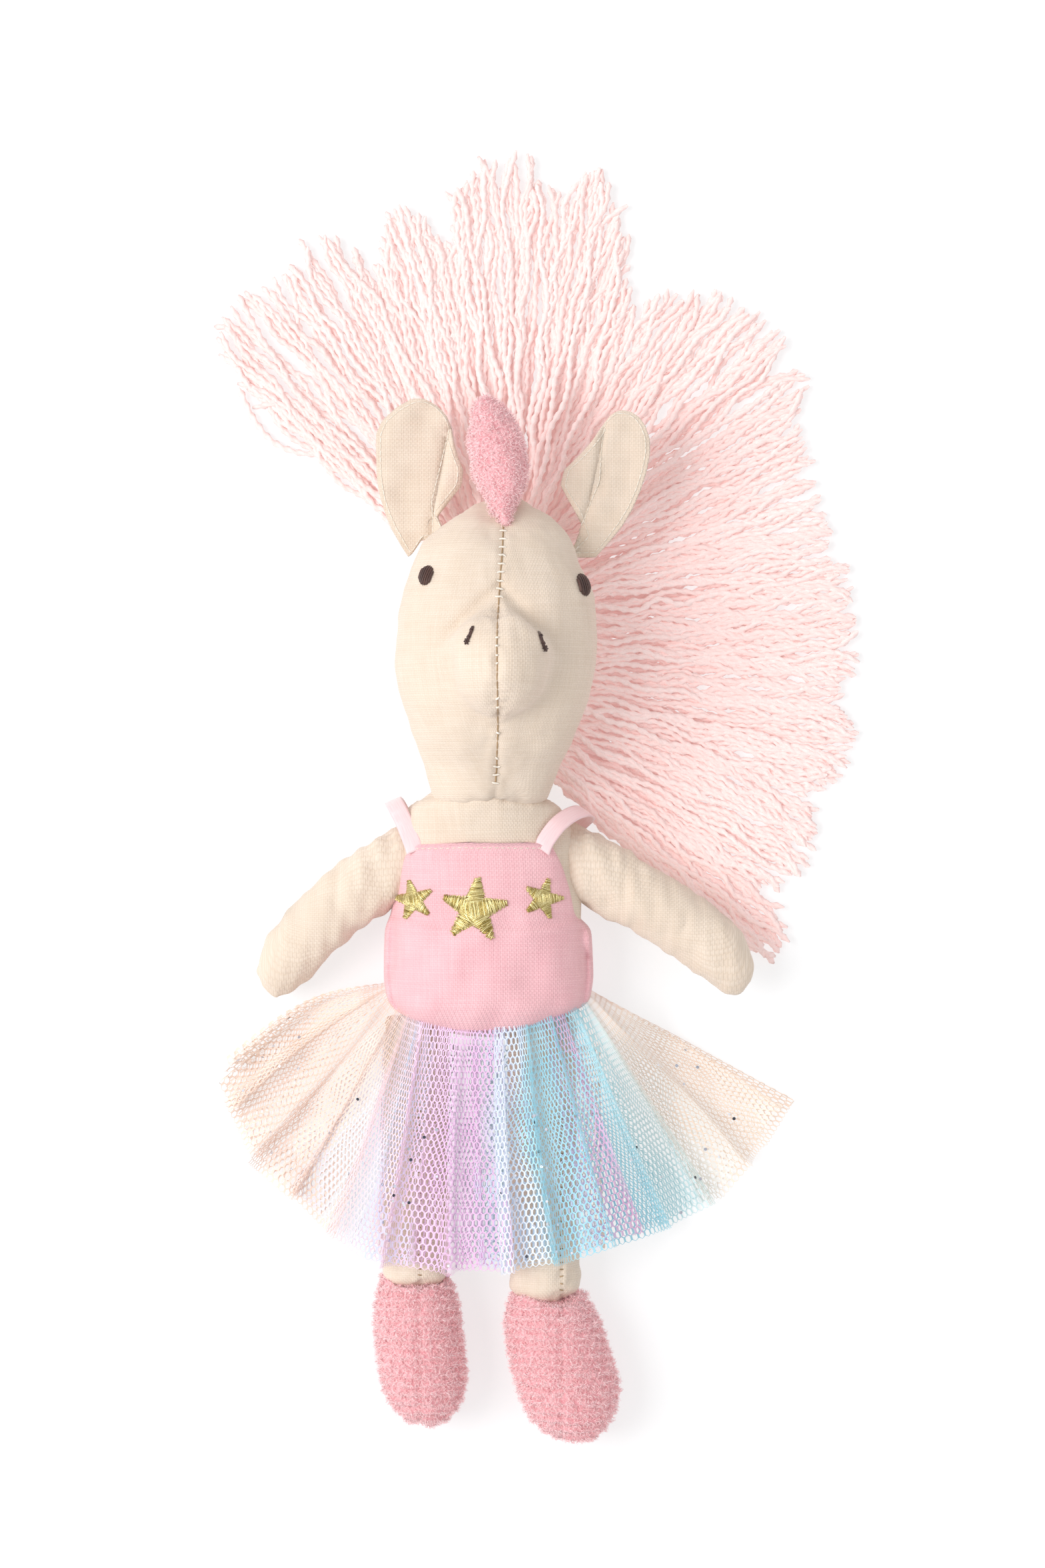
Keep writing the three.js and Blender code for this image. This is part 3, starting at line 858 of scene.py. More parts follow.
@dataclass
class StuffedPart:
    """A sewn cover filled with stuffing, swollen by cloth simulation from a slightly smaller form.

    The simulation is run on a copy ten times larger, and a point may move no further than cap_mm.
    """

    name: str
    nodes: list[str]
    start: str
    hull: bool = False
    voxel_mm: float = 1.7
    smoothing: int = 10
    pressure: float = 3.0
    cap_mm: float = 1.6
    fill: float = 0.7
    finer: int = 1
    seams: list = field(default_factory=list)

    def form(self) -> Piece:
        """Makes the swollen form, with no seams yet.

        Returns:
            The form, at its real size.
        """
        piece = hull_of(self.name, [self.start]) if self.hull else copy_of(self.name, self.start)
        place_points(piece, points_of(piece) * SIM_SCALE)
        apply_modifier(piece, "REMESH", mode="VOXEL", voxel_size=self.voxel_mm * MM * SIM_SCALE)
        apply_modifier(piece, "SMOOTH", factor=0.5, iterations=self.smoothing)
        self.swell(piece)
        place_points(piece, points_of(piece) / SIM_SCALE)
        target = surface_of(hull_of("outer", [self.start]) if self.hull else self.outer())
        self.settle(piece, target)
        if self.finer:
            apply_modifier(piece, "SUBSURF", levels=self.finer, render_levels=self.finer)
        piece.data.polygons.foreach_set("use_smooth", np.ones(len(piece.data.polygons), bool))
        return piece

    def outer(self) -> Piece:
        """The CAD covers that the finished form reaches.

        Returns:
            The covers as one object.
        """
        points, triangles, count = [], [], 0
        for node in self.nodes:
            if "stuffing" not in node:
                some, faces = node_arrays(node)
                points.append(some)
                triangles.append(faces + count)
                count += len(some)
        return add_mesh("outer", np.vstack(points), [np.vstack(triangles)])

    def settle(self, piece: Piece, target: BVHTree) -> None:
        """Brings the form out to the sewn cover's outer face, keeping the swelling's unevenness.

        Args:
            piece: the object.
            target: the surface to reach.
        """
        points, normals = points_of(piece), normals_of(piece)
        reach = np.zeros(len(points))
        for i, (point, normal) in enumerate(zip(points, normals)):
            hit = target.ray_cast(Vector(point + normal * 6.0), Vector(-normal), 12.0)
            if hit[0] is not None:
                reach[i] = 6.0 - hit[3]
        usual = np.median(reach)
        reach = np.clip(reach, usual - 1.2, usual + 1.2)
        place_points(piece, points + normals * (0.35 * reach + 0.65 * usual)[:, None])
        bpy.data.objects.remove(bpy.data.objects["outer"])
        apply_modifier(piece, "SMOOTH", factor=0.5, iterations=2)

    def swell(self, piece: Piece) -> None:
        """Runs the cloth simulation on the enlarged form and applies it.

        Args:
            piece: the object.
        """
        before = points_of(piece)
        pinned = piece.vertex_groups.new(name="seam")
        stiff = self.seam_share(before / SIM_SCALE)
        for index in np.nonzero(stiff > 0.02)[0]:
            pinned.add([int(index)], float(stiff[index]), "REPLACE")
        cloth = piece.modifiers.new("Cloth", "CLOTH")
        settings = cloth.settings
        settings.quality = 5
        settings.mass = 0.3
        settings.tension_stiffness = 15
        settings.compression_stiffness = 15
        settings.shear_stiffness = 6
        settings.bending_stiffness = 0.6
        settings.use_pressure = True
        settings.uniform_pressure_force = self.pressure
        settings.effector_weights.gravity = 0.0
        settings.shrink_min = -0.04
        if len(stiff[stiff > 0.02]):
            settings.vertex_group_mass = "seam"
        scene = bpy.context.scene
        cloth.point_cache.frame_start = 1
        cloth.point_cache.frame_end = 20
        for step in range(1, 21):
            scene.frame_set(step)
        bpy.ops.object.select_all(action="DESELECT")
        piece.select_set(True)
        bpy.context.view_layer.objects.active = piece
        bpy.ops.object.modifier_apply(modifier=cloth.name)
        scene.frame_set(1)
        moved = points_of(piece) - before
        far = np.linalg.norm(moved, axis=1)[:, None] + 1e-9
        cap = self.cap_mm * SIM_SCALE
        moved *= np.minimum(far, cap) / far
        if np.isfinite(moved).all():
            place_points(piece, before + moved)
        else:
            place_points(piece, before)
        piece.vertex_groups.clear()

    def seam_share(self, points: np.ndarray) -> np.ndarray:
        """How firmly the seams hold each point, from 0 to 1.

        Args:
            points: places in millimetres, one row each.

        Returns:
            One share for each point.
        """
        share = np.zeros(len(points))
        for seam in self.seams:
            share = np.maximum(share, 1.0 - smooth_step(0.4, 2.2, np.abs(seam(points))))
        return share

    def sew(self, piece: Piece, depth: float = 0.45, width: float = 0.9, pucker: float = 1.0) -> None:
        """Pulls the cloth in along each seam, with small puckers beside it.

        Args:
            piece: the object.
            depth: how far the seam sinks, in millimetres.
            width: the seam's half width in millimetres.
            pucker: how strong the puckers are.
        """
        points, normals = points_of(piece), normals_of(piece)
        sunk = np.zeros(len(points))
        for index, seam in enumerate(self.seams):
            away = np.abs(seam(points))
            rough = pucker * (ripple(points, 3.4, 40 + index) * 0.16 + ripple(points, 1.9, 60 + index) * 0.07)
            sunk += depth * np.exp(-((away / width) ** 2)) + rough * np.exp(-((away / (3.4 * width)) ** 2))
        place_points(piece, points - normals * sunk[:, None])

    def wrinkle(self, piece: Piece, height: float, scale: float, seed: int, stretch: tuple) -> None:
        """Adds slow folds of the cloth over the stuffing.

        Args:
            piece: the object.
            height: how high the folds are, in millimetres.
            scale: their usual width in millimetres.
            seed: the random seed.
            stretch: how much longer they are along each axis.
        """
        points, normals = points_of(piece), normals_of(piece)
        fine = 0.3 * height * ripple(points, scale * 0.4, seed + 1)
        lift = height * ripple(points, scale, seed, stretch) + fine
        place_points(piece, points + normals * lift[:, None])

    def lay_cloth(self, piece: Piece, axis: int = 1) -> None:
        """Stores cloth coordinates: millimetres round the part and along it.

        Args:
            piece: the object.
            axis: the axis along the part, 0 or 1.
        """
        points = points_of(piece)
        middle = (points.min(axis=0) + points.max(axis=0)) / 2.0
        across = 0 if axis == 1 else 1
        turn = np.arctan2(points[:, across] - middle[across], points[:, 2] - middle[2])
        radius = np.median(np.hypot(points[:, across] - middle[across], points[:, 2] - middle[2]))
        flat = np.column_stack([turn * radius, points[:, axis], np.zeros(len(points))])
        store(piece, "cloth", flat)

    def finish(self, piece: Piece, finish: Finish) -> None:
        """Args:
            piece: the object.
            finish: what it is made of.
        """
        dress(piece, finish)
        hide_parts(*self.nodes)


def add_pile(
    name: str, piece: Piece, count: int, length: float, seed: int, crest: Callable | None = None
) -> Piece:
    """Short curved fibres that stand on a surface, as one mesh.

    Args:
        name: the pile's name.
        piece: the surface that it grows on.
        count: how many fibres.
        length: the usual length of a fibre in millimetres.
        seed: the random seed.
        crest: a function that gives each place's height on its rib, from -1 to 1.

    Returns:
        The pile.
    """
    rng = np.random.default_rng(seed)
    points, normals = points_of(piece), normals_of(piece)
    piece.data.calc_loop_triangles()
    triangles = np.empty(len(piece.data.loop_triangles) * 3, int)
    piece.data.loop_triangles.foreach_get("vertices", triangles)
    corners = points[triangles.reshape(-1, 3)]
    area = np.linalg.norm(np.cross(corners[:, 1] - corners[:, 0], corners[:, 2] - corners[:, 0]), axis=1)
    chosen = rng.choice(len(area), count, p=area / area.sum())
    share = rng.dirichlet((1.0, 1.0, 1.0), count)
    root = (corners[chosen] * share[:, :, None]).sum(axis=1)
    normal = (normals[triangles.reshape(-1, 3)][chosen] * share[:, :, None]).sum(axis=1)
    tone = rng.uniform(0.2, 1.0, len(root))
    if crest is not None:
        height = crest(root)
        kept = height > rng.uniform(-1.15, 0.5, len(root))
        root, normal = root[kept], normal[kept]
        # Painted shade: fibres low on their rib get a darker tone, those on its crest a lighter one.
        tone = np.clip(0.5 * tone + 0.5 * height, 0.0, 1.0)[kept]
    lean = rng.normal(size=root.shape)
    lean -= (lean * normal).sum(axis=1)[:, None] * normal
    lean /= np.linalg.norm(lean, axis=1)[:, None] + 1e-9
    side = np.cross(normal, lean)
    reach = length * rng.uniform(0.55, 1.25, len(root))[:, None]
    spine = [
        root - 0.1 * normal,
        root + normal * reach * 0.55 + lean * reach * 0.25,
        root + normal * reach * 0.75 + lean * reach * rng.uniform(0.5, 1.0, (len(root), 1)),
    ]
    thick = [0.085, 0.07, 0.02]
    rings = []
    for place, half in zip(spine, thick):
        for angle in (0.0, 2.094, 4.189):
            rings.append(place + half * (math.cos(angle) * side + math.sin(angle) * normal))
    vertices = np.stack(rings, axis=1).reshape(-1, 3)
    first = (np.arange(len(root)) * 9)[:, None]
    walls = []
    for level in (0, 3):
        for k in range(3):
            n = (k + 1) % 3
            walls.append(first + np.array([[level + k, level + n, level + 3 + n, level + 3 + k]]))
    ends = [first + np.array([[2, 1, 0]]), first + np.array([[6, 7, 8]])]
    made = add_mesh(name, vertices, [np.vstack(walls), np.vstack(ends)])
    store(made, "shade", np.repeat(tone, 9))
    return made


# ---- Head -------------------------------------------------------------------------------------


def band(points: np.ndarray, middle: float, width: float) -> np.ndarray:
    """A smooth bump of height one round a value."""
    return np.exp(-(((points - middle) / width) ** 2))


@dataclass
class Head:
    """The head's two sewn panels, their seams, and the embroidered face."""

    seam_pinch_mm: float = 0.55
    tuck_mm: float = 4.2
    blend_mm: float = 18.0

    def __post_init__(self) -> None:
        """Reads the head's place from the frame."""
        self.low, self.high = box_mm("head_panel_left", "head_panel_right")
        self.seam_x = box_mm("head_panel_left")[1][0]
        self.neck_y = self.low[1]
        self.crown_y = self.high[1]
        self.muzzle_low, self.muzzle_high = box_mm("nostril_left", "nostril_right")
        self.horn_low, self.horn_high = box_mm("horn_cover")

    def seam_line(self, points: np.ndarray) -> np.ndarray:
        """Signed distance in millimetres from the face's centre seam, which wanders a little."""
        return points[:, 0] - self.seam_at(points[:, 1])

    def seam_at(self, y: np.ndarray | float) -> np.ndarray | float:
        """The centre seam's X for a place along the head."""
        share = (y - self.neck_y) / (self.crown_y - self.neck_y)
        return self.seam_x - 0.9 + 1.9 * share + 0.35 * np.sin(share * 9.0)

    def build(self) -> Piece:
        """Builds the whole head.

        Returns:
            The head cover.
        """
        part = StuffedPart(
            name="head_cover",
            nodes=["head_panel_left", "head_panel_right", "head_stuffing"],
            start="head_stuffing",
            voxel_mm=1.6,
            smoothing=14,
            pressure=2.0,
            cap_mm=1.0,
            fill=0.85,
            seams=[self.seam_line],
        )
        cover = part.form()
        self.shape_muzzle(cover)
        part.sew(cover, depth=self.seam_pinch_mm, width=0.8)
        part.wrinkle(cover, 0.16, 13.0, 5, (1.0, 1.6, 1.0))
        self.reach_neck(cover)
        part.lay_cloth(cover)
        part.finish(cover, CALICO)
        surface = surface_of(cover)
        self.follow(cover)
        self.sew_centre(surface)
        self.embroider(surface)
        return cover

    def follow(self, piece: Piece) -> None:
        """Bakes a piece's transform into its mesh."""
        bend(piece)

    def shape_muzzle(self, cover: Piece) -> None:
        """Draws the brow fold over the muzzle and the soft hollows beside it.

        Args:
            cover: the piece to shape.
        """
        points, normals = points_of(cover), normals_of(cover)
        middle = self.seam_at(points[:, 1])
        aside = points[:, 0] - middle
        nostril_y = (self.muzzle_low[1] + self.muzzle_high[1]) / 2.0
        brow_y = nostril_y + 11.5 - np.abs(aside) * 0.95
        front = smooth_step(30.0, 40.0, points[:, 2]) * smooth_step(16.0, 9.0, np.abs(aside))
        fold = band(points[:, 1], brow_y + 1.6, 1.9) * front
        ridge = band(points[:, 1], brow_y - 2.0, 2.4) * front
        points = points + normals * (0.85 * ridge - 1.05 * fold)[:, None]
        hollow = band(np.abs(aside), 12.5, 4.0) * band(points[:, 1], nostril_y - 12.0, 9.0)
        points -= normals * (0.5 * hollow * smooth_step(28.0, 36.0, points[:, 2]))[:, None]
        place_points(cover, points)

    def reach_neck(self, cover: Piece) -> None:
        """Draws the open end down to the neck seam.

        Args:
            cover: the piece to shape.
        """
        points = points_of(cover)
        near = smooth_step(self.neck_y + 6.5, self.neck_y, points[:, 1])
        points[:, 1] -= near * self.tuck_mm
        place_points(cover, points)

    def sew_centre(self, surface: BVHTree) -> None:
        """The ladder stitches across the centre seam and a tan thread in it, painted shade of its groove.

        Args:
            surface: the surface that the threads lie on.
        """
        pale, tan = Bundle(), Bundle()
        rng = np.random.default_rng(3)
        for y in np.arange(self.neck_y + 1.2, self.horn_low[1] - 0.2, 2.05):
            open_stitch = y > self.muzzle_high[1] + 6.0 or y < self.neck_y + 7.0
            half = 1.0 if open_stitch else 0.4
            lean = rng.uniform(-0.25, 0.25)
            x = float(self.seam_at(y))
            if open_stitch or rng.uniform() < 0.4:
                near = 0.4 * half
                places = [(x - half, y - lean), (x - near, y), (x + near, y), (x + half, y + lean)]
                stitch(pale, surface, places, [0.1, 0.4, 0.4, 0.1], 0.24, rng.uniform(0.7, 1.0), 8)
            # Painted shade: a tan thread laid along the seam darkens its groove.
            along = [(float(self.seam_at(y + step)), y + step) for step in (0.0, 1.0, 2.0)]
            stitch(tan, surface, along, [0.07, 0.07, 0.07], 0.18, rng.uniform(0.3, 0.8), 7)
        self.follow(dress(pale.build("face_ladder_stitches"), PALE_THREAD))
        self.follow(dress(tan.build("face_seam_shade_thread"), TAN_THREAD))

    def embroider(self, surface: BVHTree) -> None:
        """The satin-stitched eyes and the nostrils.

        Args:
            surface: the surface that the threads lie on.
        """
        for side, lean in ((Side.LEFT, -20.0), (Side.RIGHT, 16.0)):
            low, high = box_mm(f"eye_{side}")
            eye = Bundle()
            half = (high - low)[:2] * np.array([0.39, 0.49])
            self.satin_oval(eye, surface, (low + high) / 2.0, half, math.radians(lean))
            self.place_face_piece(eye, f"eye_{side}")
            low, high = box_mm(f"nostril_{side}")
            nostril = Bundle()
            self.knotted_line(nostril, surface, (low + high) / 2.0, (high - low) / 2.0, -side.way)
            self.place_face_piece(nostril, f"nostril_{side}")

    def place_face_piece(self, bundle: Bundle, node: str) -> None:
        """Builds one motif of the face in its node's place.

        Args:
            bundle: the motif's threads.
            node: the motif's node, which is its name too.
        """
        piece = dress(bundle.build(f"embroidered_{node}"), BROWN_THREAD)
        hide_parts(node)
        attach(piece, "head")

    def satin_oval(
        self, bundle: Bundle, surface: BVHTree, middle: np.ndarray, half: np.ndarray, turn: float
    ) -> None:
        """Fills a slanted oval with threads laid side by side along its length.

        Args:
            bundle: the mesh that takes the threads.
            surface: the face.
            middle: the oval's centre in millimetres.
            half: its half width and half length.
            turn: its slant in radians, anticlockwise.
        """
        rng = np.random.default_rng(7)
        shares = np.linspace(-1.0, 1.0, 7)
        arch = np.sqrt(1.0 - shares**2)
        for layer, count in enumerate((9, 7)):
            for u in np.linspace(-0.92, 0.92, count):
                across = u * half[0]
                reach = half[1] * math.sqrt(1.0 - (0.88 * u) ** 2) * rng.uniform(0.95, 1.03)
                places = [
                    (
                        middle[0] + across * math.cos(turn) - share * reach * math.sin(turn),
                        middle[1] + across * math.sin(turn) + share * reach * math.cos(turn),
                    )
                    for share in shares
                ]
                lifts = 0.12 + (0.42 + 0.3 * layer) * arch * (1.0 - 0.5 * u * u)
                stitch(bundle, surface, places, lifts, 0.24, rng.uniform(0.25, 1.0), 12)

    def knotted_line(
        self, bundle: Bundle, surface: BVHTree, middle: np.ndarray, half: np.ndarray, slope: float
    ) -> None:
        """A short bowed line of two threads, with knots of which the lowest is the largest.

        Args:
            bundle: the mesh that takes the threads.
            surface: the face.
            middle: the line's middle in millimetres.
            half: half its width and height.
            slope: 1 if it rises to the right, -1 if it falls.
        """
        rng = np.random.default_rng(11)

        def place(share: float, aside: float = 0.0) -> tuple[float, float]:
            """A place along the line."""
            bow = 0.75 * share * half[0] + 0.15 * (1.0 - share**2)
            return middle[0] + slope * bow + aside, middle[1] + share * half[1]

        for offset in (-0.16, 0.16):
            places = [place(share, offset) for share in np.linspace(-1.0, 1.0, 9)]
            stitch(bundle, surface, places, [0.2] * 9, 0.27, rng.uniform(0.3, 0.9), 14)
        for knot, size in ((-0.72, 0.72), (-0.25, 0.45), (0.5, 0.45)):
            x, y = place(knot)
            for turn in np.linspace(0.0, math.pi, 4):
                onward = size * np.array([math.cos(turn), 1.3 * math.sin(turn)])
                places = [(x + step * onward[0], y + step * onward[1]) for step in (-1.0, -0.4, 0.4, 1.0)]
                stitch(bundle, surface, places, [0.2, 0.49, 0.49, 0.2], 0.2, rng.uniform(0.2, 0.9), 7)


# ---- Horn and ears ----------------------------------------------------------------------------


@dataclass
class Horn:
    """The leaf-shaped horn of pink terry, sewn to the top of the forehead."""

    fibres: int = 5200

    def build(self) -> None:
        """Builds the horn and its pile."""
        part = StuffedPart(
            name="horn_terry",
            nodes=["horn_cover", "horn_stuffing"],
            start="horn_cover",
            hull=True,
            voxel_mm=0.9,
            smoothing=4,
            pressure=1.0,
            cap_mm=0.4,
            fill=0.5,
            finer=0,
        )
        cover = part.form()
        points = points_of(cover)
        low, high = box_mm("horn_cover")
        spine = np.clip((points[:, 1] - low[1]) / (high[1] - low[1]), 0.0, 1.0)
        centre = np.interp(spine, [0.0, 0.45, 1.0], [low[0] + 9.4, low[0] + 7.6, low[0] + 3.9])
        narrow = np.interp(spine, [0.0, 0.08, 0.3, 0.7, 0.92, 1.0], [0.2, 0.5, 1.0, 1.0, 0.86, 0.55])
        lean = np.interp(spine, [0.0, 1.0], [low[0] + 9.4, low[0] + 3.9])
        points[:, 0] = centre + (points[:, 0] - lean) * narrow
        points[:, 1] -= 1.2 * smooth_step(0.3, 0.0, spine)
        place_points(cover, points)
        part.wrinkle(cover, 0.28, 5.0, 9, (1.0, 1.6, 1.0))
        points, normals = points_of(cover), normals_of(cover)
        row = np.sin(points[:, 1] * 2.0 * math.pi / 2.6 + 1.5 * np.sin(points[:, 0] * 0.3))
        place_points(cover, points + normals * (0.14 * row)[:, None])
        part.lay_cloth(cover)
        part.finish(cover, TERRY)
        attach(cover, "head")
        pile = add_pile("horn_terry_pile", cover, self.fibres, 1.05, 21)
        dress(pile, TERRY_FIBRE)
        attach(pile, "head")


@dataclass
class Ear:
    """One folded ear of two calico layers, topstitched near its edge."""

    side: Side
    fold: tuple
    tuck_mm: float = 6.0
    edge_gap_mm: float = 0.6

    def build(self) -> None:
        """Builds both layers and the topstitching."""
        levels = [box_mm(f"ear_{self.side}_{name}")[0][2] + 0.12 for name in ("back", "front")]
        outline = self.tucked(plan_outline(f"ear_{self.side}_front"))
        self.edge = (levels[0] + levels[1]) / 2.0
        lower = self.layer(outline, levels[0], "back")
        upper = self.layer(outline, levels[1], "front")
        for piece, node in ((lower, f"ear_{self.side}_back"), (upper, f"ear_{self.side}_front")):
            dress(piece, CALICO)
            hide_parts(node)
            self.flat_area(outline) * MM * MM
            self.blend(piece)
        self.topstitch(outline, surface_of(upper))

    def tucked(self, outline: np.ndarray) -> np.ndarray:
        """The outline with its base carried on behind the head.

        Args:
            outline: the ear's outline in millimetres.

        Returns:
            The longer outline.
        """
        onward = np.roll(outline, -1, axis=0)
        low, high = box_mm("head_panel_left", "head_panel_right")
        centre = (low[:2] + high[:2]) / 2.0 + np.array([0.0, 14.0])
        base = int(np.argmin(np.linalg.norm((outline + onward) / 2.0 - centre, axis=1)))
        middle = (outline[base] + onward[base]) / 2.0
        inward = (centre - middle) / np.linalg.norm(centre - middle)
        return np.insert(outline, base + 1, middle + inward * self.tuck_mm, axis=0)

    def flat_area(self, outline: np.ndarray) -> float:
        """The outline's area in square millimetres."""
        x, y = outline[:, 0], outline[:, 1]
        return float(abs(np.dot(x, np.roll(y, -1)) - np.dot(y, np.roll(x, -1))) / 2.0)

    def height(self, points: np.ndarray, level: float) -> np.ndarray:
        """The height of the ear's cloth: dished along its fold, curled up at the tip.

        Args:
            points: places in millimetres, one row each.
            level: the cloth's height in millimetres.

        Returns:
            One height for each point.
        """
        fold = resample(np.array(self.fold, float), 40)
        gaps = points[:, None, :] - fold[None, :, :]
        nearest = np.argmin(np.linalg.norm(gaps, axis=2), axis=1)
        away = np.linalg.norm(gaps[np.arange(len(points)), nearest], axis=1)
        inner = np.sign(gaps[np.arange(len(points)), nearest, 0]) * -self.side.way
        flap = smooth_step(0.2, 2.4, away * inner)
        dish = np.exp(-(((away * inner + 6.5) / 3.6) ** 2))
        return level + 0.9 * flap - 0.8 * np.exp(-((away / 0.8) ** 2)) - 0.7 * dish

    def layer(self, outline: np.ndarray, level: float, name: str) -> Piece:
        """One layer of cloth: rings of the outline drawn in towards its spine.

        Args:
            outline: the ear's outline in millimetres.
            level: the layer's height; at the edge both layers come together.
            name: the layer's name.

        Returns:
            The layer, with its faces up.
        """
        ring, centre = self.ring_and_centre(outline)
        edge = self.edge + self.edge_gap_mm / 2.0 * np.sign(level - self.edge)
        rows = []
        for inset in (0.0, 0.03, 0.08, 0.16, 0.25, 0.37, 0.5, 0.62, 0.74, 0.87, 1.0):
            flat = ring + (centre - ring) * inset
            here = edge + (level - edge) * float(smooth_step(0.0, 0.16, np.array(inset)))
            z = self.height(flat, here) + 0.15 * ripple(np.column_stack([flat, flat[:, :1] * 0]), 7.0, 31)
            rows.append(np.column_stack([flat, z]))
        made = add_mesh(f"ear_{self.side}_{name}_cloth", np.vstack(rows), [grid_faces(11, 96, closed=True)])
        if normals_of(made)[:, 2].mean() < 0:
            made.data.flip_normals()
        apply_modifier(made, "WELD", merge_threshold=0.01 * MM)
        store(made, "cloth", points_of(made) * np.array([1.0, 1.0, 0.0]))
        apply_modifier(made, "SOLIDIFY", thickness=0.55 * MM, offset=0.0)
        return made

    def ring_and_centre(self, outline: np.ndarray) -> tuple[np.ndarray, np.ndarray]:
        """The outline in even steps, and for each step its place on the ear's centre line.

        Args:
            outline: the ear's outline in millimetres.

        Returns:
            The ring and the centres, one row each.
        """
        ring = resample(np.vstack([outline, outline[:1]]), 97)[:-1]
        fold = np.array(self.fold, float)
        low, high = (fold[-1] + fold[-2]) / 2.0, fold[0]
        along = high - low
        share = np.clip((ring - low) @ along / (along @ along), 0.08, 0.92)
        return ring, low + share[:, None] * along

    def topstitch(self, outline: np.ndarray, surface: BVHTree) -> None:
        """Short stitches that run inside the edge and along the fold.

        Args:
            outline: the ear's outline in millimetres.
            surface: the surface that the threads lie on.
        """
        bundle = Bundle()
        rng = np.random.default_rng(17)
        ring, centre = self.ring_and_centre(outline)
        inward = (centre - ring) / np.linalg.norm(centre - ring, axis=1)[:, None]
        inner = ring + inward * 1.15
        for line in (np.vstack([inner, inner[:1]]), resample(np.array(self.fold, float), 60)):
            run = resample(line, max(int(length_of(line) / 0.8), 8))
            for start in range(0, len(run) - 2, 2):
                places = resample(run[start : start + 3], 5)
                stitch(bundle, surface, list(places), [0.07] * 5, 0.13, rng.uniform(0.5, 1.0), 5)
        self.blend(dress(bundle.build(f"ear_{self.side}_topstitching"), PALE_THREAD))

    def blend(self, piece: Piece) -> None:
        """Bakes the ear piece's transform into its mesh.

        Args:
            piece: the object.
        """
        bend(piece)


# ---- Torso and limbs --------------------------------------------------------------------------


@dataclass
class Torso:
    """The calico torso with its neck, mostly under the dress."""

    half_widths: tuple = (25.0, 24.2, 22.6, 19.4, 16.0, 14.6)

    def build(self) -> Piece:
        """Builds the torso.

        Returns:
            The torso cover.
        """
        neck_y = box_mm("head_panel_left")[0][1]
        part = StuffedPart(
            name="torso_cover",
            nodes=["torso_front_panel", "torso_back_panel", "torso_stuffing"],
            start="torso_stuffing",
            voxel_mm=1.8,
            smoothing=8,
            pressure=1.5,
            cap_mm=0.7,
            fill=0.8,
        )
        cover = part.form()
        self.slope_shoulders(cover, neck_y)
        points, normals = points_of(cover), normals_of(cover)
        groove = band(points[:, 1], neck_y - 1.6, 0.8)
        pucker = ripple(points, 2.6, 15) * band(points[:, 1], neck_y - 1.5, 3.0)
        place_points(cover, points - normals * (0.5 * groove + 0.18 * pucker)[:, None])
        part.wrinkle(cover, 0.14, 11.0, 6, (1.0, 1.0, 1.0))
        part.lay_cloth(cover)
        part.finish(cover, CALICO)
        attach(cover, "torso")
        self.sew_neck(cover, neck_y)
        return cover

    def slope_shoulders(self, cover: Piece, neck_y: float) -> None:
        """Narrows the torso from the shoulders to the neck.

        Args:
            cover: the piece to shape.
            neck_y: the neck seam's place in millimetres.
        """
        points = points_of(cover)
        levels = np.arange(20.0, neck_y + 3.0, 1.0)
        widest = [np.abs(points[np.abs(points[:, 1] - y) < 1.1, 0]).max(initial=1.0) for y in levels]
        here = np.maximum(np.interp(points[:, 1], levels, widest), 4.0)
        levels = np.array([-14.0, -9.6, -6.4, -4.2, -2.2, 0.4]) + neck_y
        wanted = np.interp(points[:, 1], levels, self.half_widths)
        factor = np.where(points[:, 1] > neck_y - 14.0, np.clip(wanted / here, 0.3, 1.0), 1.0)
        points[:, 0] *= factor
        place_points(cover, points)
        apply_modifier(cover, "SMOOTH", factor=0.5, iterations=3)

    def sew_neck(self, cover: Piece, neck_y: float) -> None:
        """The tan stitches that close the neck seam.

        Args:
            cover: the piece to shape.
            neck_y: the neck seam's place in millimetres.
        """
        surface = surface_of(cover)
        bundle = Bundle()
        rng = np.random.default_rng(8)
        half = self.half_widths[-1] - 1.0
        for x in np.arange(-half, half, 1.05):
            y = neck_y - 0.9
            places = [(x + step, y + rng.uniform(-0.15, 0.15)) for step in (-0.42, 0.0, 0.42)]
            stitch(bundle, surface, places, [0.02, 0.16, 0.02], 0.14, rng.uniform(0.2, 0.9))
        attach(dress(bundle.build("neck_seam_stitches"), TAN_THREAD), "torso")


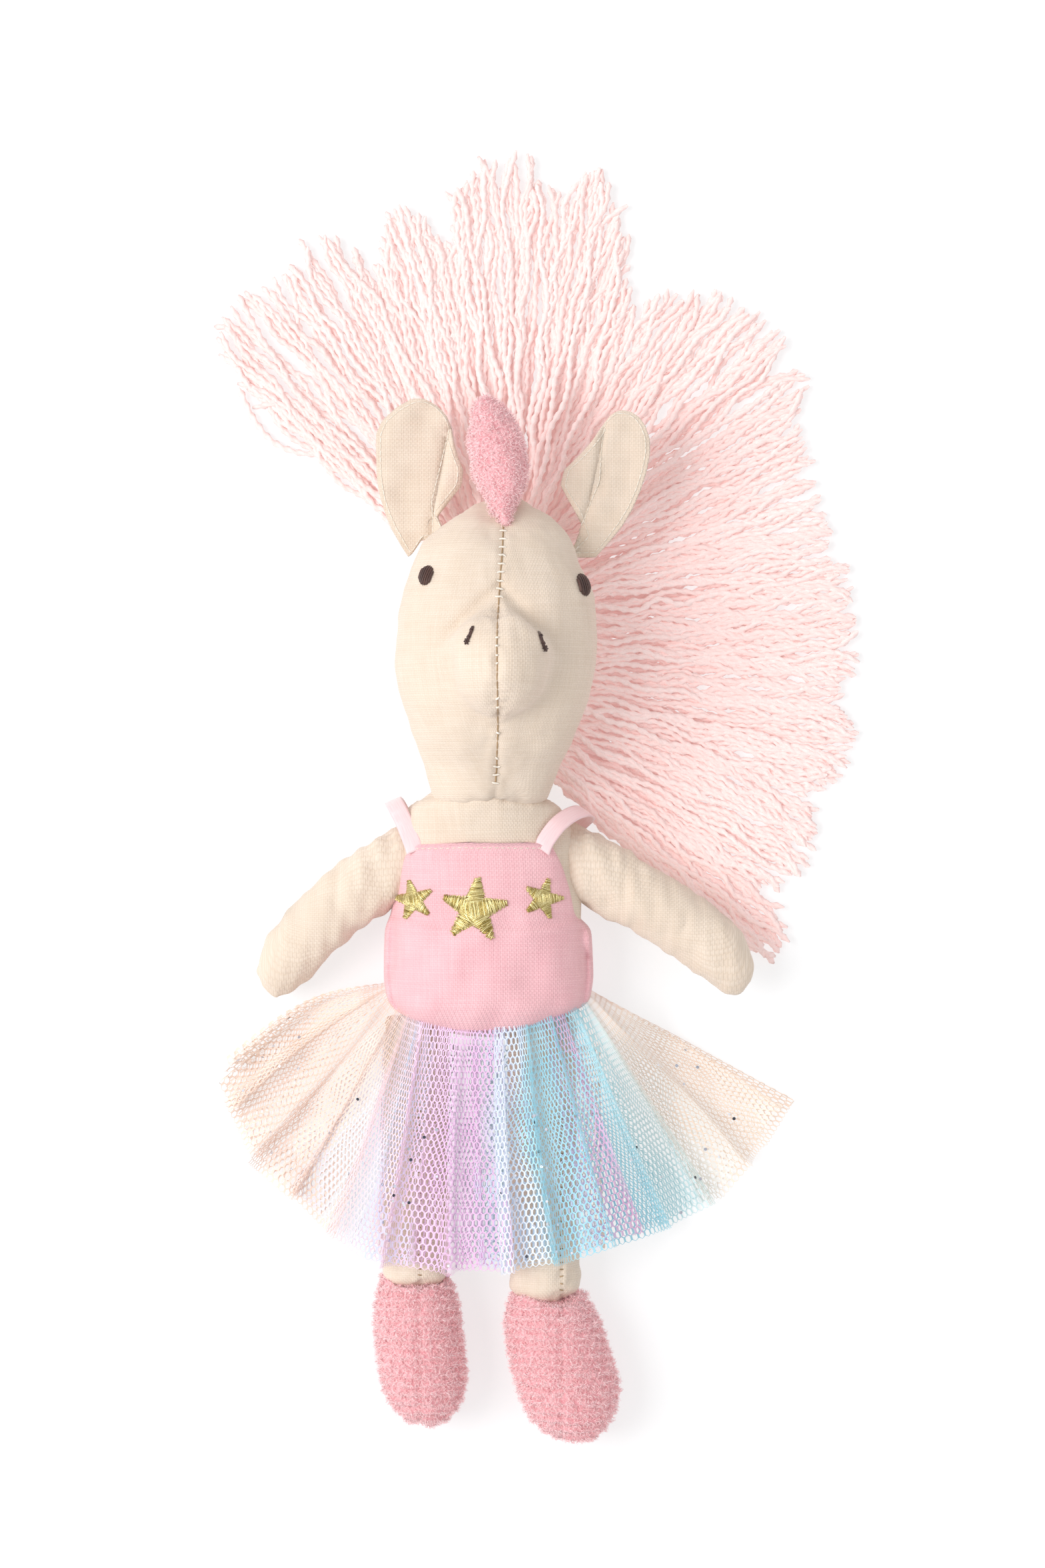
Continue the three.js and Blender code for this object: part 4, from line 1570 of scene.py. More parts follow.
@dataclass
class Arm:
    """One stuffed calico arm with its side seam."""

    side: Side
    joint_x: float = 25.2
    blend_mm: float = 11.8

    def seam_line(self, points: np.ndarray) -> np.ndarray:
        """Distance in millimetres from the seam round the arm's edge."""
        return points[:, 2] - self.seam_z(points)

    def seam_z(self, points: np.ndarray) -> np.ndarray:
        """The seam's height along the arm.

        Args:
            points: places in millimetres, one row each.

        Returns:
            One height for each point.
        """
        low, high = self.low, self.high
        share = np.clip(np.abs(points[:, 0]) - self.joint_x, 0.0, 60.0) / 60.0
        start = (low[2] + high[2]) / 2.0 + 1.0
        end = low[2] + 7.5 if self.side is Side.LEFT else (low[2] + high[2]) / 2.0
        return start + (end - start) * share - 1.2

    def build(self) -> None:
        """Builds the arm."""
        self.low, self.high = box_mm(f"arm_{self.side}_cover")
        part = StuffedPart(
            name=f"arm_{self.side}_calico",
            nodes=[f"arm_{self.side}_cover", f"arm_{self.side}_stuffing"],
            start=f"arm_{self.side}_stuffing",
            voxel_mm=1.3,
            smoothing=12,
            pressure=2.4,
            cap_mm=0.8,
            fill=0.65,
            seams=[self.seam_line],
        )
        cover = part.form()
        points = points_of(cover)
        root = smooth_step(self.joint_x + 8.0, self.joint_x, np.abs(points[:, 0]))
        points[:, 0] -= np.sign(points[:, 0]) * 8.0 * root
        points[:, 1] += 3.6 * root
        place_points(cover, points)
        apply_modifier(cover, "SMOOTH", factor=0.5, iterations=6)
        part.sew(cover, depth=0.28, width=0.7, pucker=0.4)
        points, normals = points_of(cover), normals_of(cover)
        inward = smooth_step(self.joint_x + 22.0, self.joint_x, np.abs(points[:, 0]))
        crease = ripple(points, 6.5, 75, (0.8, 2.6, 1.2))
        place_points(cover, points + normals * (crease * (0.12 + 0.3 * inward))[:, None])
        points = points_of(cover)
        middle = (self.low + self.high) / 2.0
        turn = np.arctan2(points[:, 1] - middle[1], points[:, 2] - middle[2])
        store(cover, "cloth", np.column_stack([points[:, 0], turn * 7.5, points[:, 0] * 0.0]))
        part.finish(cover, CALICO)
        bend(cover)


@dataclass
class Leg:
    """One calico leg and its terry boot."""

    side: Side
    hip_y: float = -26.9
    blend_mm: float = 13.1
    fibres: int = 19000
    rib_mm: float = 2.35
    tuck_mm: float = 6.0

    def build(self) -> None:
        """Builds the leg, its seam stitches, the boot and the boot's pile."""
        self.boot_low, self.boot_high = box_mm(f"boot_{self.side}_cover")
        self.leg_low, self.leg_high = box_mm(f"leg_{self.side}_cover")
        self.middle_x = (self.boot_low[0] + self.boot_high[0]) / 2.0
        self.build_leg()
        self.build_boot()

    def rib_height(self, points: np.ndarray) -> np.ndarray:
        """How high each place lies on its rib, from -1 to 1."""
        sway = 0.45 * ripple(points, 9.0, 33)
        return np.sin(points[:, 1] * 2.0 * math.pi / self.rib_mm + sway)

    def build_leg(self) -> None:
        """The calico leg."""
        part = StuffedPart(
            name=f"leg_{self.side}_calico",
            nodes=[f"leg_{self.side}_cover", f"leg_{self.side}_stuffing"],
            start=f"leg_{self.side}_cover",
            hull=True,
            voxel_mm=1.4,
            smoothing=4,
            pressure=1.6,
            cap_mm=0.6,
            fill=0.75,
            seams=[self.front_seam],
        )
        cover = part.form()
        points = points_of(cover)
        points[:, 1] += self.tuck_mm * smooth_step(self.hip_y - 8.0, self.hip_y - 1.0, points[:, 1])
        place_points(cover, points)
        part.sew(cover, depth=0.3, width=0.7)
        part.wrinkle(cover, 0.18, 8.0, 80, (1.6, 0.8, 1.0))
        part.lay_cloth(cover)
        part.finish(cover, CALICO)
        surface = surface_of(cover)
        bend(cover)
        self.sew_front(surface)

    def front_seam(self, points: np.ndarray) -> np.ndarray:
        """Distance in millimetres from the seam down the leg's front; far away on its back."""
        front = points[:, 2] > (self.leg_low[2] + self.leg_high[2]) / 2.0
        return np.where(front, points[:, 0] - self.middle_x, 30.0)

    def sew_front(self, surface: BVHTree) -> None:
        """Small stitches down the leg's front seam.

        Args:
            surface: the surface that the threads lie on.
        """
        bundle = Bundle()
        rng = np.random.default_rng(5)
        for y in np.arange(self.boot_high[1] + 0.5, self.hip_y - 16.0, 1.7):
            half = rng.uniform(0.3, 0.55)
            places = [(self.middle_x + step, y + rng.uniform(-0.15, 0.15)) for step in (-half, 0.0, half)]
            stitch(bundle, surface, places, [0.05, 0.2, 0.05], 0.15, rng.uniform(0.5, 1.0))
        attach(dress(bundle.build(f"leg_{self.side}_seam_stitches"), TAN_THREAD), f"leg_{self.side}")

    def build_boot(self) -> None:
        """The terry boot, its ribs and its pile."""
        part = StuffedPart(
            name=f"boot_{self.side}_terry",
            nodes=[f"boot_{self.side}_cover", f"boot_{self.side}_stuffing"],
            start=f"boot_{self.side}_cover",
            hull=True,
            voxel_mm=1.1,
            smoothing=3,
            pressure=1.4,
            cap_mm=0.5,
            fill=0.75,
        )
        cover = part.form()
        points, normals = points_of(cover), normals_of(cover)
        aside = points[:, 0] - self.middle_x
        half = (self.boot_high[0] - self.boot_low[0]) / 2.0
        dip = 3.4 * np.clip(1.0 - (aside / half) ** 2, 0.0, 1.0)
        dip = dip * smooth_step(self.boot_low[2], self.boot_high[2], points[:, 2])
        near_top = smooth_step(self.boot_high[1] - 9.0, self.boot_high[1], points[:, 1])
        points[:, 1] -= dip * near_top
        hug = 1.0 - 0.13 * near_top
        points[:, 0] = self.middle_x + aside * hug
        middle_z = (self.boot_low[2] + self.boot_high[2]) / 2.0
        points[:, 2] = middle_z + (points[:, 2] - middle_z) * (1.0 - 0.08 * near_top)
        row = self.rib_height(points)
        seam = band(aside, 0.0, 0.8) * (points[:, 2] > self.boot_low[2] + 8.0)
        lift = 0.42 * row + 0.12 * ripple(points, 2.2, 34) - 0.6 * seam
        place_points(cover, points + normals * lift[:, None])
        part.lay_cloth(cover)
        part.finish(cover, TERRY)
        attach(cover, f"leg_{self.side}")
        pile = add_pile(f"boot_{self.side}_pile", cover, self.fibres, 1.1, 48, self.rib_height)
        dress(pile, TERRY_FIBRE)
        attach(pile, f"leg_{self.side}")


# ---- Dress ------------------------------------------------------------------------------------


@dataclass
class Bodice:
    """The sleeveless cotton bodice, its ribbon straps and its three embroidered stars."""

    waist_y: float = 2.7
    side_tuck_mm: float = 0.55
    rows: int = 70
    columns: int = 90

    def build(self, torso: Piece) -> None:
        """Builds the bodice on the finished torso.

        Args:
            torso: the finished torso.
        """
        self.under = surface_of(torso)
        points, triangles = node_arrays("bodice_front")
        sides = np.vstack([triangles[:, [0, 1]], triangles[:, [1, 2]], triangles[:, [2, 0]]])
        self.cad_edges = points[sides][:, :, :2]
        self.low, self.high = box_mm("bodice_front")
        front = self.panel("bodice_front_cloth", True)
        back = self.panel("bodice_back_cloth", False)
        self.surface = surface_of(front)
        for piece, node in ((front, "bodice_front"), (back, "bodice_back")):
            apply_modifier(piece, "SOLIDIFY", thickness=0.5 * MM, offset=0.0)
            dress(piece, DRESS_COTTON)
            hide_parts(node)
            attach(piece, "torso")
        self.topstitch()
        for side in Side:
            self.strap(side)
        for place, turn in (("left", 12.0), ("centre", -5.0), ("right", -16.0)):
            self.star(place, turn)

    def span(self, y: float) -> tuple[float, float]:
        """The bodice's left and right edges at one height, from the CAD outline.

        Args:
            y: a place along the doll in millimetres.

        Returns:
            The two values of X.
        """
        a, b = self.cad_edges[:, 0], self.cad_edges[:, 1]
        crossing = ((a[:, 1] - y) * (b[:, 1] - y) <= 0) & (np.abs(a[:, 1] - b[:, 1]) > 1e-6)
        a, b = a[crossing], b[crossing]
        x = a[:, 0] + (b[:, 0] - a[:, 0]) * (y - a[:, 1]) / (b[:, 1] - a[:, 1])
        return float(x.min()), float(x.max())

    def front_height(self, x: np.ndarray, y: np.ndarray) -> np.ndarray:
        """The torso's front surface height under each place, or nan where the place misses it."""
        hits = [drop(self.under, a, b) for a, b in zip(x, y)]
        return np.array([np.nan if hit is None else hit[2] for hit in hits])

    def panel(self, name: str, front: bool) -> Piece:
        """One panel of the bodice, from the neckline to the waist seam.

        Args:
            name: the piece's name.
            front: whether it is the front panel.

        Returns:
            The panel.
        """
        top, bottom = self.high[1] - 0.15, self.low[1] + 0.15
        levels = np.linspace(bottom, top, self.rows)
        side_z = (box_mm("torso_front_panel")[1][2]) * 0.36
        rows = []
        inside = np.clip(levels, self.low[1] + 0.2, self.high[1] - 0.2)
        spans = np.array([self.span(float(y)) for y in inside])
        for _ in range(6):
            spans[2:-2] = (spans[1:-3] + spans[3:-1] + spans[2:-2]) / 3.0
        for y, (left, right) in zip(levels, spans):
            turn = np.linspace(-1.0, 1.0, self.columns)
            spread = np.sin(turn * math.pi / 2.0)
            tuck = 0.0 if front else self.side_tuck_mm
            x = (left + right) / 2.0 + ((right - left) / 2.0 - tuck) * spread
            y_line = np.full(len(x), y)
            if front:
                z = self.front_height(x, y_line)
                edge = np.abs(turn) > 0.6
                known = ~np.isnan(z)
                z = np.interp(turn, turn[known], z[known]) if known.any() else np.full(len(x), side_z)
                z = z + 0.75
                fall = smooth_step(0.86, 1.0, np.abs(turn))
                z = z * (1.0 - fall) + (side_z - 0.2 * (z - side_z)) * fall
                z = np.where(edge, np.maximum(z, side_z), z)
            else:
                z = 0.55 + (side_z + 0.5) * np.clip((np.abs(turn) - 0.55) / 0.45, 0.0, 1.0) ** 2.2
            rows.append(np.column_stack([x, y_line, z]))
        grid = np.array(rows)
        smooth = grid[:, :, 2].copy()
        for _ in range(3):
            smooth[1:-1, 1:-1] = (
                smooth[1:-1, 1:-1] * 2.0 + smooth[:-2, 1:-1] + smooth[2:, 1:-1]
                + smooth[1:-1, :-2] + smooth[1:-1, 2:]
            ) / 6.0
        grid[:, :, 2] = smooth
        points = grid.reshape(-1, 3)
        if front:
            points = self.crumple(points)
        made = add_mesh(name, points, [grid_faces(self.rows, self.columns)])
        upward = normals_of(made)[:, 2].mean() > 0
        if upward != front:
            made.data.flip_normals()
        steps = np.linalg.norm(np.diff(grid, axis=1), axis=2)
        across = np.concatenate([np.zeros((self.rows, 1)), np.cumsum(steps, axis=1)], axis=1)
        across -= across[:, self.columns // 2 : self.columns // 2 + 1]
        cloth = np.column_stack([across.ravel(), grid[:, :, 1].ravel(), np.zeros(len(points))])
        store(made, "cloth", cloth)
        gap = abs(float(levels[1] - levels[0]))
        self.flat_area = float((steps.sum(axis=1) * gap).sum())
        return made

    def crumple(self, points: np.ndarray) -> np.ndarray:
        """The waist crease, the loose folds near it, and the gathers above the skirt.

        Args:
            points: places in millimetres, one row each.

        Returns:
            How far each point is lifted, in millimetres.
        """
        x, y = points[:, 0], points[:, 1]
        line = self.waist_y - 0.7 + 0.0042 * x * x + 0.35 * np.sin(x * 0.31 + 1.0)
        crease = band(y, line, 0.85) * (0.75 + 0.25 * np.sin(x * 0.23 + 0.6))
        roll = band(y, line - 1.7, 1.5)
        below = band(y, line + 2.6, 1.9)
        flat = np.column_stack([x, y, np.zeros(len(x))])
        folds = ripple(flat, 15.0, 51, (0.8, 1.6, 1.0)) * 0.3 * smooth_step(16.0, 4.0, y)
        small = ripple(flat, 5.5, 52, (1.5, 0.7, 1.0)) * 0.05 * smooth_step(10.0, 0.0, np.abs(y - line))
        points = points.copy()
        points[:, 2] += -0.62 * crease + 0.5 * roll + 0.12 * below + folds + small
        return points

    def topstitch(self) -> None:
        """The hem stitching below the neckline."""
        bundle = Bundle()
        rng = np.random.default_rng(23)
        y = self.high[1] - 1.3
        left, right = self.span(y)
        for x in np.arange(left + 1.2, right - 1.2, 1.5):
            places = [(x + step, y + rng.uniform(-0.06, 0.06)) for step in (0.0, 0.5, 1.0)]
            stitch(bundle, self.surface, places, [0.3, 0.39, 0.3], 0.11, rng.uniform(0.4, 0.9), 5)
        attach(dress(bundle.build("bodice_topstitching"), PALE_THREAD), "torso")

    def strap(self, side: Side) -> None:
        """A satin ribbon from the front neckline over the shoulder to the back.

        Args:
            side: which side it is on.
        """
        high = box_mm(f"strap_{side}")[1]
        if side is Side.LEFT:
            across = np.array([0.92, 0.38, 0.0])
            front = [(-17.9, 20.6, 1.1), (-18.7, 23.0, 1.3), (-20.6, 27.6, 1.4), (-22.4, 31.2, 1.3)]
            drops = [(-23.5, 32.9, 17.0), (-23.6, 33.0, 12.0), (-22.6, 31.4, 6.5), (-19.0, 24.0, 1.4)]
        else:
            across = np.array([0.80, -0.58, 0.12])
            front = [(13.5, 20.9, 1.1), (14.4, 23.2, 1.9), (17.2, 27.0, 3.1), (20.6, 29.6, 2.9)]
            drops = [(23.6, 30.6, 19.0), (25.0, 29.8, 13.0), (23.8, 28.2, 7.0), (18.0, 23.0, 1.4)]
        path = []
        for x, y, lift in front:
            point = drop(self.under, x, y)
            z = 20.0 if point is None else point[2]
            path.append((x, y, min(z + lift, high[2] + 2.0)))
        line = through(np.array(path + drops), 64)
        line[:, 2] = np.maximum(line[:, 2], 0.8)
        tangent = np.gradient(line, axis=0)
        tangent /= np.linalg.norm(tangent, axis=1)[:, None]
        across = across / np.linalg.norm(across) * np.ones((64, 1))
        width = 4.4
        rows = []
        for share in np.linspace(-0.5, 0.5, 9):
            cup = 0.18 * (1.0 - (2.0 * share) ** 2)
            normal = np.cross(across, tangent)
            rows.append(line + across * (share * width) + normal * cup)
        grid = np.stack(rows, axis=1)
        made = add_mesh(f"strap_{side}_ribbon", grid.reshape(-1, 3), [grid_faces(64, 9)])
        if normals_of(made)[:20, 2].mean() < 0:
            made.data.flip_normals()
        run = np.linspace(0.0, length_of(line), 64)
        cloth = np.stack(np.meshgrid(run, np.linspace(-2.2, 2.2, 9), indexing="ij"), axis=-1).reshape(-1, 2)
        store(made, "cloth", np.column_stack([cloth[:, 1], cloth[:, 0], np.zeros(len(cloth))]))
        apply_modifier(made, "SOLIDIFY", thickness=0.35 * MM, offset=0.0)
        dress(made, RIBBON)
        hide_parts(f"strap_{side}")
        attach(made, "torso")

    def star(self, place: str, turn: float) -> None:
        """A five-pointed star of gold satin stitch, its threads laid across each point and its middle.

        Args:
            place: its middle in millimetres.
            turn: its turn in radians.
        """
        low, high = box_mm(f"star_{place}")
        middle = (low + high)[:2] / 2.0
        half = (high - low)[:2] / 2.0 * 1.02
        rng = np.random.default_rng(60 + len(place))
        bundle = Bundle()
        notch, blunt = 0.52, 0.1
        fifth = 2.0 * math.pi / 5.0
        for tip in math.radians(90.0 + turn) + fifth * np.arange(5):
            point = np.array([math.cos(tip), math.sin(tip)])
            beside = np.array([-point[1], point[0]])
            turns = tip + fifth / 2.0 * np.array([-1.0, 1.0])
            corners = notch * np.column_stack([np.cos(turns), np.sin(turns)])
            tips = point + blunt * np.array([-beside, beside])
            steps = max(int(half[0] * (1.0 - notch * 0.6) / 0.3), 6)
            for layer in range(2):
                for share in np.linspace(0.0, 1.05 + 0.35 * layer, steps + layer * 3):
                    ends = tips * (1.0 - share) + corners * share
                    skew = point * (rng.normal(0.0, 0.03) + 0.05 * (layer - 0.5))
                    ends = ends + np.array([skew, -skew])
                    self.lay_thread(bundle, middle + ends * half, rng, 0.16 + 0.2 * layer)
        for layer, course in enumerate((0.4, 1.7)):
            onward = np.array([math.cos(course), math.sin(course)])
            beside = np.array([-onward[1], onward[0]])
            for offset in np.linspace(-0.85, 0.85, max(int(half[0] * notch * 2.0 / 0.38), 5)):
                reach = onward * math.sqrt(1.0 - offset**2)
                ends = 0.92 * notch * (beside * offset + np.array([-reach, reach]))
                self.lay_thread(bundle, middle + ends * half, rng, 0.2 + 0.2 * layer)
        piece = dress(bundle.build(f"star_{place}_embroidery"), GOLD_THREAD)
        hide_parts(f"star_{place}")
        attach(piece, "torso")

    def lay_thread(self, bundle: Bundle, ends: np.ndarray, rng: np.random.Generator, lift: float) -> None:
        """One thread between two places of a star, arched a little over the cloth.

        Args:
            bundle: the mesh that takes the thread.
            ends: X and Y of its two ends in millimetres.
            rng: gives its far end's unevenness and its tone.
            lift: its height above the cloth at its ends.
        """
        far = ends[1] + rng.normal(0.0, 0.06, 2)
        shares = np.linspace(0.0, 1.0, 5)
        places = [ends[0] + (far - ends[0]) * share for share in shares]
        lifts = lift + 0.3 * np.sqrt(1.0 - (2.0 * shares - 1.0) ** 2)
        stitch(bundle, self.surface, places, lifts, 0.2, rng.uniform(0.0, 1.0), 8)


# ---- Mane -------------------------------------------------------------------------------------


TWO_PLY = np.array([1.0, 0.62, 0.56, 1.0, 0.62, 0.56])


def yarn(
    bundle: Bundle, path: np.ndarray, radius: float, phase: float, shade: float, twist_mm: float = 6.2
) -> None:
    """Adds one strand of two-ply yarn, whose two lobes turn round each other along it.

    Args:
        bundle: the mesh that takes the strand.
        path: evenly spaced centre points in millimetres.
        radius: the yarn's outer radius in millimetres.
        phase: where the twist starts, in radians.
        shade: the strand's own tone, from 0 to 1.
        twist_mm: the length of one full turn of the plies.
    """
    run = np.linspace(0.0, length_of(path), len(path))
    share = run / run[-1]
    taper = np.clip(np.minimum(share * 60.0, (1.0 - share) * 90.0), 0.35, 1.0)
    turns = phase + run * 2.0 * math.pi / twist_mm
    bundle.add_tube(tube_rings(path, radius * taper, TWO_PLY, turns), shade)


@dataclass
class Lock:
    """One group of the mane's strands, fanned out inside its CAD outline."""

    node: str
    body: str
    strands: int = 34
    free: int = 2
    root_lift: float = 8.0
    tuck_mm: float = 4.0
    step_mm: float = 1.0
    radius: float = 0.92
    seed: int = 1

    def edges(self) -> tuple[np.ndarray, np.ndarray]:
        """The root edge and the line of tips, both running the same way round.

        Returns:
            The two lines of points.
        """
        ring = plan_outline(self.node)
        centre = np.mean(box_mm("mane_weft"), axis=0)[:2]
        follow = np.roll(ring, -1, axis=0)
        root = int(np.argmin(np.linalg.norm((ring + follow) / 2.0 - centre, axis=1)))
        start, end = follow[root], ring[root]
        middle = (start + end) / 2.0
        order = np.roll(ring, -(root + 1), axis=0)
        far = np.linalg.norm(order - middle, axis=1)
        tips = order[far > 0.66 * far.max()]
        return np.array([start, end]), tips

    def paths(self) -> list[np.ndarray]:
        """The strands' centre lines.

        Returns:
            One line of points for each strand.
        """
        rng = np.random.default_rng(100 + self.seed)
        root, tips = self.edges()
        tip_line = resample(tips, 200)
        made = []
        shares = np.sort((np.arange(self.strands) + rng.uniform(0.1, 0.9, self.strands)) / self.strands)
        for share in shares:
            start = root[0] + (root[1] - root[0]) * np.clip(share + rng.normal(0.0, 0.1), 0.0, 1.0)
            aim = np.clip(share + rng.normal(0.0, 0.03), 0.0, 1.0)
            tip = tip_line[int(aim * 199)]
            onward = (tip - start) / np.linalg.norm(tip - start)
            start = start - onward * self.tuck_mm
            length = np.linalg.norm(tip - start)
            side = np.array([-onward[1], onward[0]])
            tip = tip - onward * (abs(rng.normal(0.0, 1.0)) * 3.4 + rng.uniform(0.0, 1.2))
            clump = math.sin(share * 19.0 + self.seed) * 1.4
            sway = rng.normal(0.0, 2.4) + clump
            layer = rng.uniform(0.0, 1.0)
            controls = []
            wave_phase, wave_count = rng.uniform(0.0, 6.28), rng.uniform(3.0, 5.5)
            for part in np.linspace(0.0, 1.0, 15):
                plan = start + (tip - start) * part
                wander = 0.75 * math.sin(wave_count * 2.0 * math.pi * part + wave_phase)
                wander += rng.normal(0.0, 0.25)
                plan = plan + side * (sway * math.sin(math.pi * part) + wander)
                fall = (1.0 - smooth_step(0.08, 0.55, np.array(part))) * self.root_lift
                z = 0.9 + layer * (3.0 - 1.8 * part) + float(fall) * (0.12 + 0.88 * layer)
                z += 0.3 * abs(math.sin(7.3 * part + wave_phase))
                controls.append((*plan, z))
            if rng.uniform() < 0.5:
                last, before = np.array(controls[-1]), np.array(controls[-2])
                curl = rng.normal(0.0, 1.3)
                curled = np.array([side[0] * curl, side[1] * curl, 0.0])
                controls[-1] = tuple(last + curled + (last - before) * 0.02)
            made.append(through(np.array(controls), max(int(length / self.step_mm), 20)))
        return made

    def build(self) -> None:
        """Builds the lock's strands; the free ones are separate pieces."""
        rng = np.random.default_rng(300 + self.seed)
        paths = self.paths()
        reach = [np.linalg.norm(path[-1][:2] - path[0][:2]) for path in paths]
        longest = set(np.argsort(reach)[-self.free :]) if self.free else set()
        bundle = Bundle()
        for index, path in enumerate(paths):
            shade = rng.uniform(0.35, 1.0)
            if index in longest:
                self.free_strand(path, index, rng.uniform(0.0, 6.28), shade)
            else:
                yarn(bundle, path, self.radius * rng.uniform(0.92, 1.1), rng.uniform(0.0, 6.28), shade)
        piece = dress(bundle.build(f"{self.node}_yarn"), MANE_YARN)
        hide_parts(self.node)
        self.follow(piece)

    def free_strand(self, path: np.ndarray, index: int, phase: float, shade: float) -> None:
        """One strand that is its own piece.

        Args:
            path: the strand's centre line in millimetres.
            index: the strand's number in its lock.
            phase: the yarn's turn at its root, in radians.
            shade: its own tone, from 0 to 1.
        """
        bundle = Bundle()
        yarn(bundle, path, self.radius, phase, shade)
        piece = dress(bundle.build(f"{self.node}_strand_{index}"), MANE_YARN)
        self.follow(piece)

    def follow(self, piece: Piece) -> None:
        """Puts head locks' strands on the head; for mane_side and torso locks it only bakes their transform.

        Args:
            piece: the object.
        """
        if self.body == "mane_side":
            bend(piece)
        elif self.body == "torso":
            bend(piece)
        else:
            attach(piece, self.body)


@dataclass
class Mane:
    """All the locks, the sewn weft behind the head and one stray strand."""

    def build(self) -> None:
        """Builds the mane."""
        locks = [
            Lock("mane_lock_left", "head", strands=62, free=3, root_lift=9.0, seed=1),
            Lock("mane_lock_upper_left", "head", strands=50, free=2, root_lift=11.0, seed=2),
            Lock("mane_lock_crown", "head", strands=48, free=2, root_lift=12.0, seed=3),
            Lock("mane_lock_upper_right", "head", strands=48, free=2, root_lift=12.0, seed=4),
            Lock("mane_lock_right_top", "head", strands=62, free=2, root_lift=10.0, seed=5),
            Lock("mane_lock_right_upper", "head", strands=60, free=2, root_lift=9.0, tuck_mm=2.0, seed=6),
            Lock(
                "mane_lock_right_middle", "mane_side", strands=56, free=2, root_lift=8.0, tuck_mm=16.0, seed=7
            ),
            Lock(
                "mane_lock_right_lower", "mane_side", strands=56, free=2, root_lift=8.0, tuck_mm=16.0, seed=8
            ),
            Lock(
                "mane_lock_shoulder_upper", "torso", strands=50, free=2, root_lift=6.0, tuck_mm=14.0, seed=9
            ),
            Lock(
                "mane_lock_shoulder_lower", "torso", strands=40, free=2, root_lift=5.0, tuck_mm=12.0, seed=10
            ),
        ]
        for lock in locks:
            lock.build()
        self.weft()
        self.stray()

    def weft(self) -> None:
        """The strip of zigzag stitches that holds the strands to the back of the head."""
        low, high = box_mm("mane_weft")
        bundle = Bundle()
        rng = np.random.default_rng(71)
        run = np.linspace(low[1] + 0.5, high[1] - 0.5, 60)
        for k in range(2):
            path = []
            for i, y in enumerate(run):
                x = (low[0] + high[0]) / 2.0 + (y - low[1]) * 0.04 + (0.9 if (i + k) % 2 else -0.9)
                share = (y - low[1]) / (high[1] - low[1])
                z = low[2] + 1.0 + (high[2] - low[2] - 2.0) * (2.0 * share - 1.0) ** 4 + rng.uniform(0.0, 0.2)
                path.append((x, y, z))
            yarn(bundle, through(np.array(path), 240), 0.5, float(k), 0.7)
        piece = dress(bundle.build("mane_weft_stitching"), MANE_YARN)
        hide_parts("mane_weft")
        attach(piece, "head")

    def stray(self) -> None:
        """One strand that has slipped out and loops below the left lock."""
        tip_low = box_mm("mane_lock_left")[0]
        lock = Lock("mane_lock_left", "head", seed=99)
        controls = [
            (-4.0, 96.0, 8.0), (-18.0, 110.0, 5.0), (-30.0, 121.5, 1.6), (-38.0, 122.0, 1.2),
            (-46.0, 120.8, 1.1), (-54.0, 123.6, 1.1), (-59.5, 130.0, 1.2), (-63.0, 137.5, 1.4),
        ]
        path = through(np.array(controls), 150)
        path[:, 0] = np.maximum(path[:, 0], tip_low[0])
        lock.free_strand(path, 0, 0.5, 0.8)


# ---- Skirt ------------------------------------------------------------------------------------


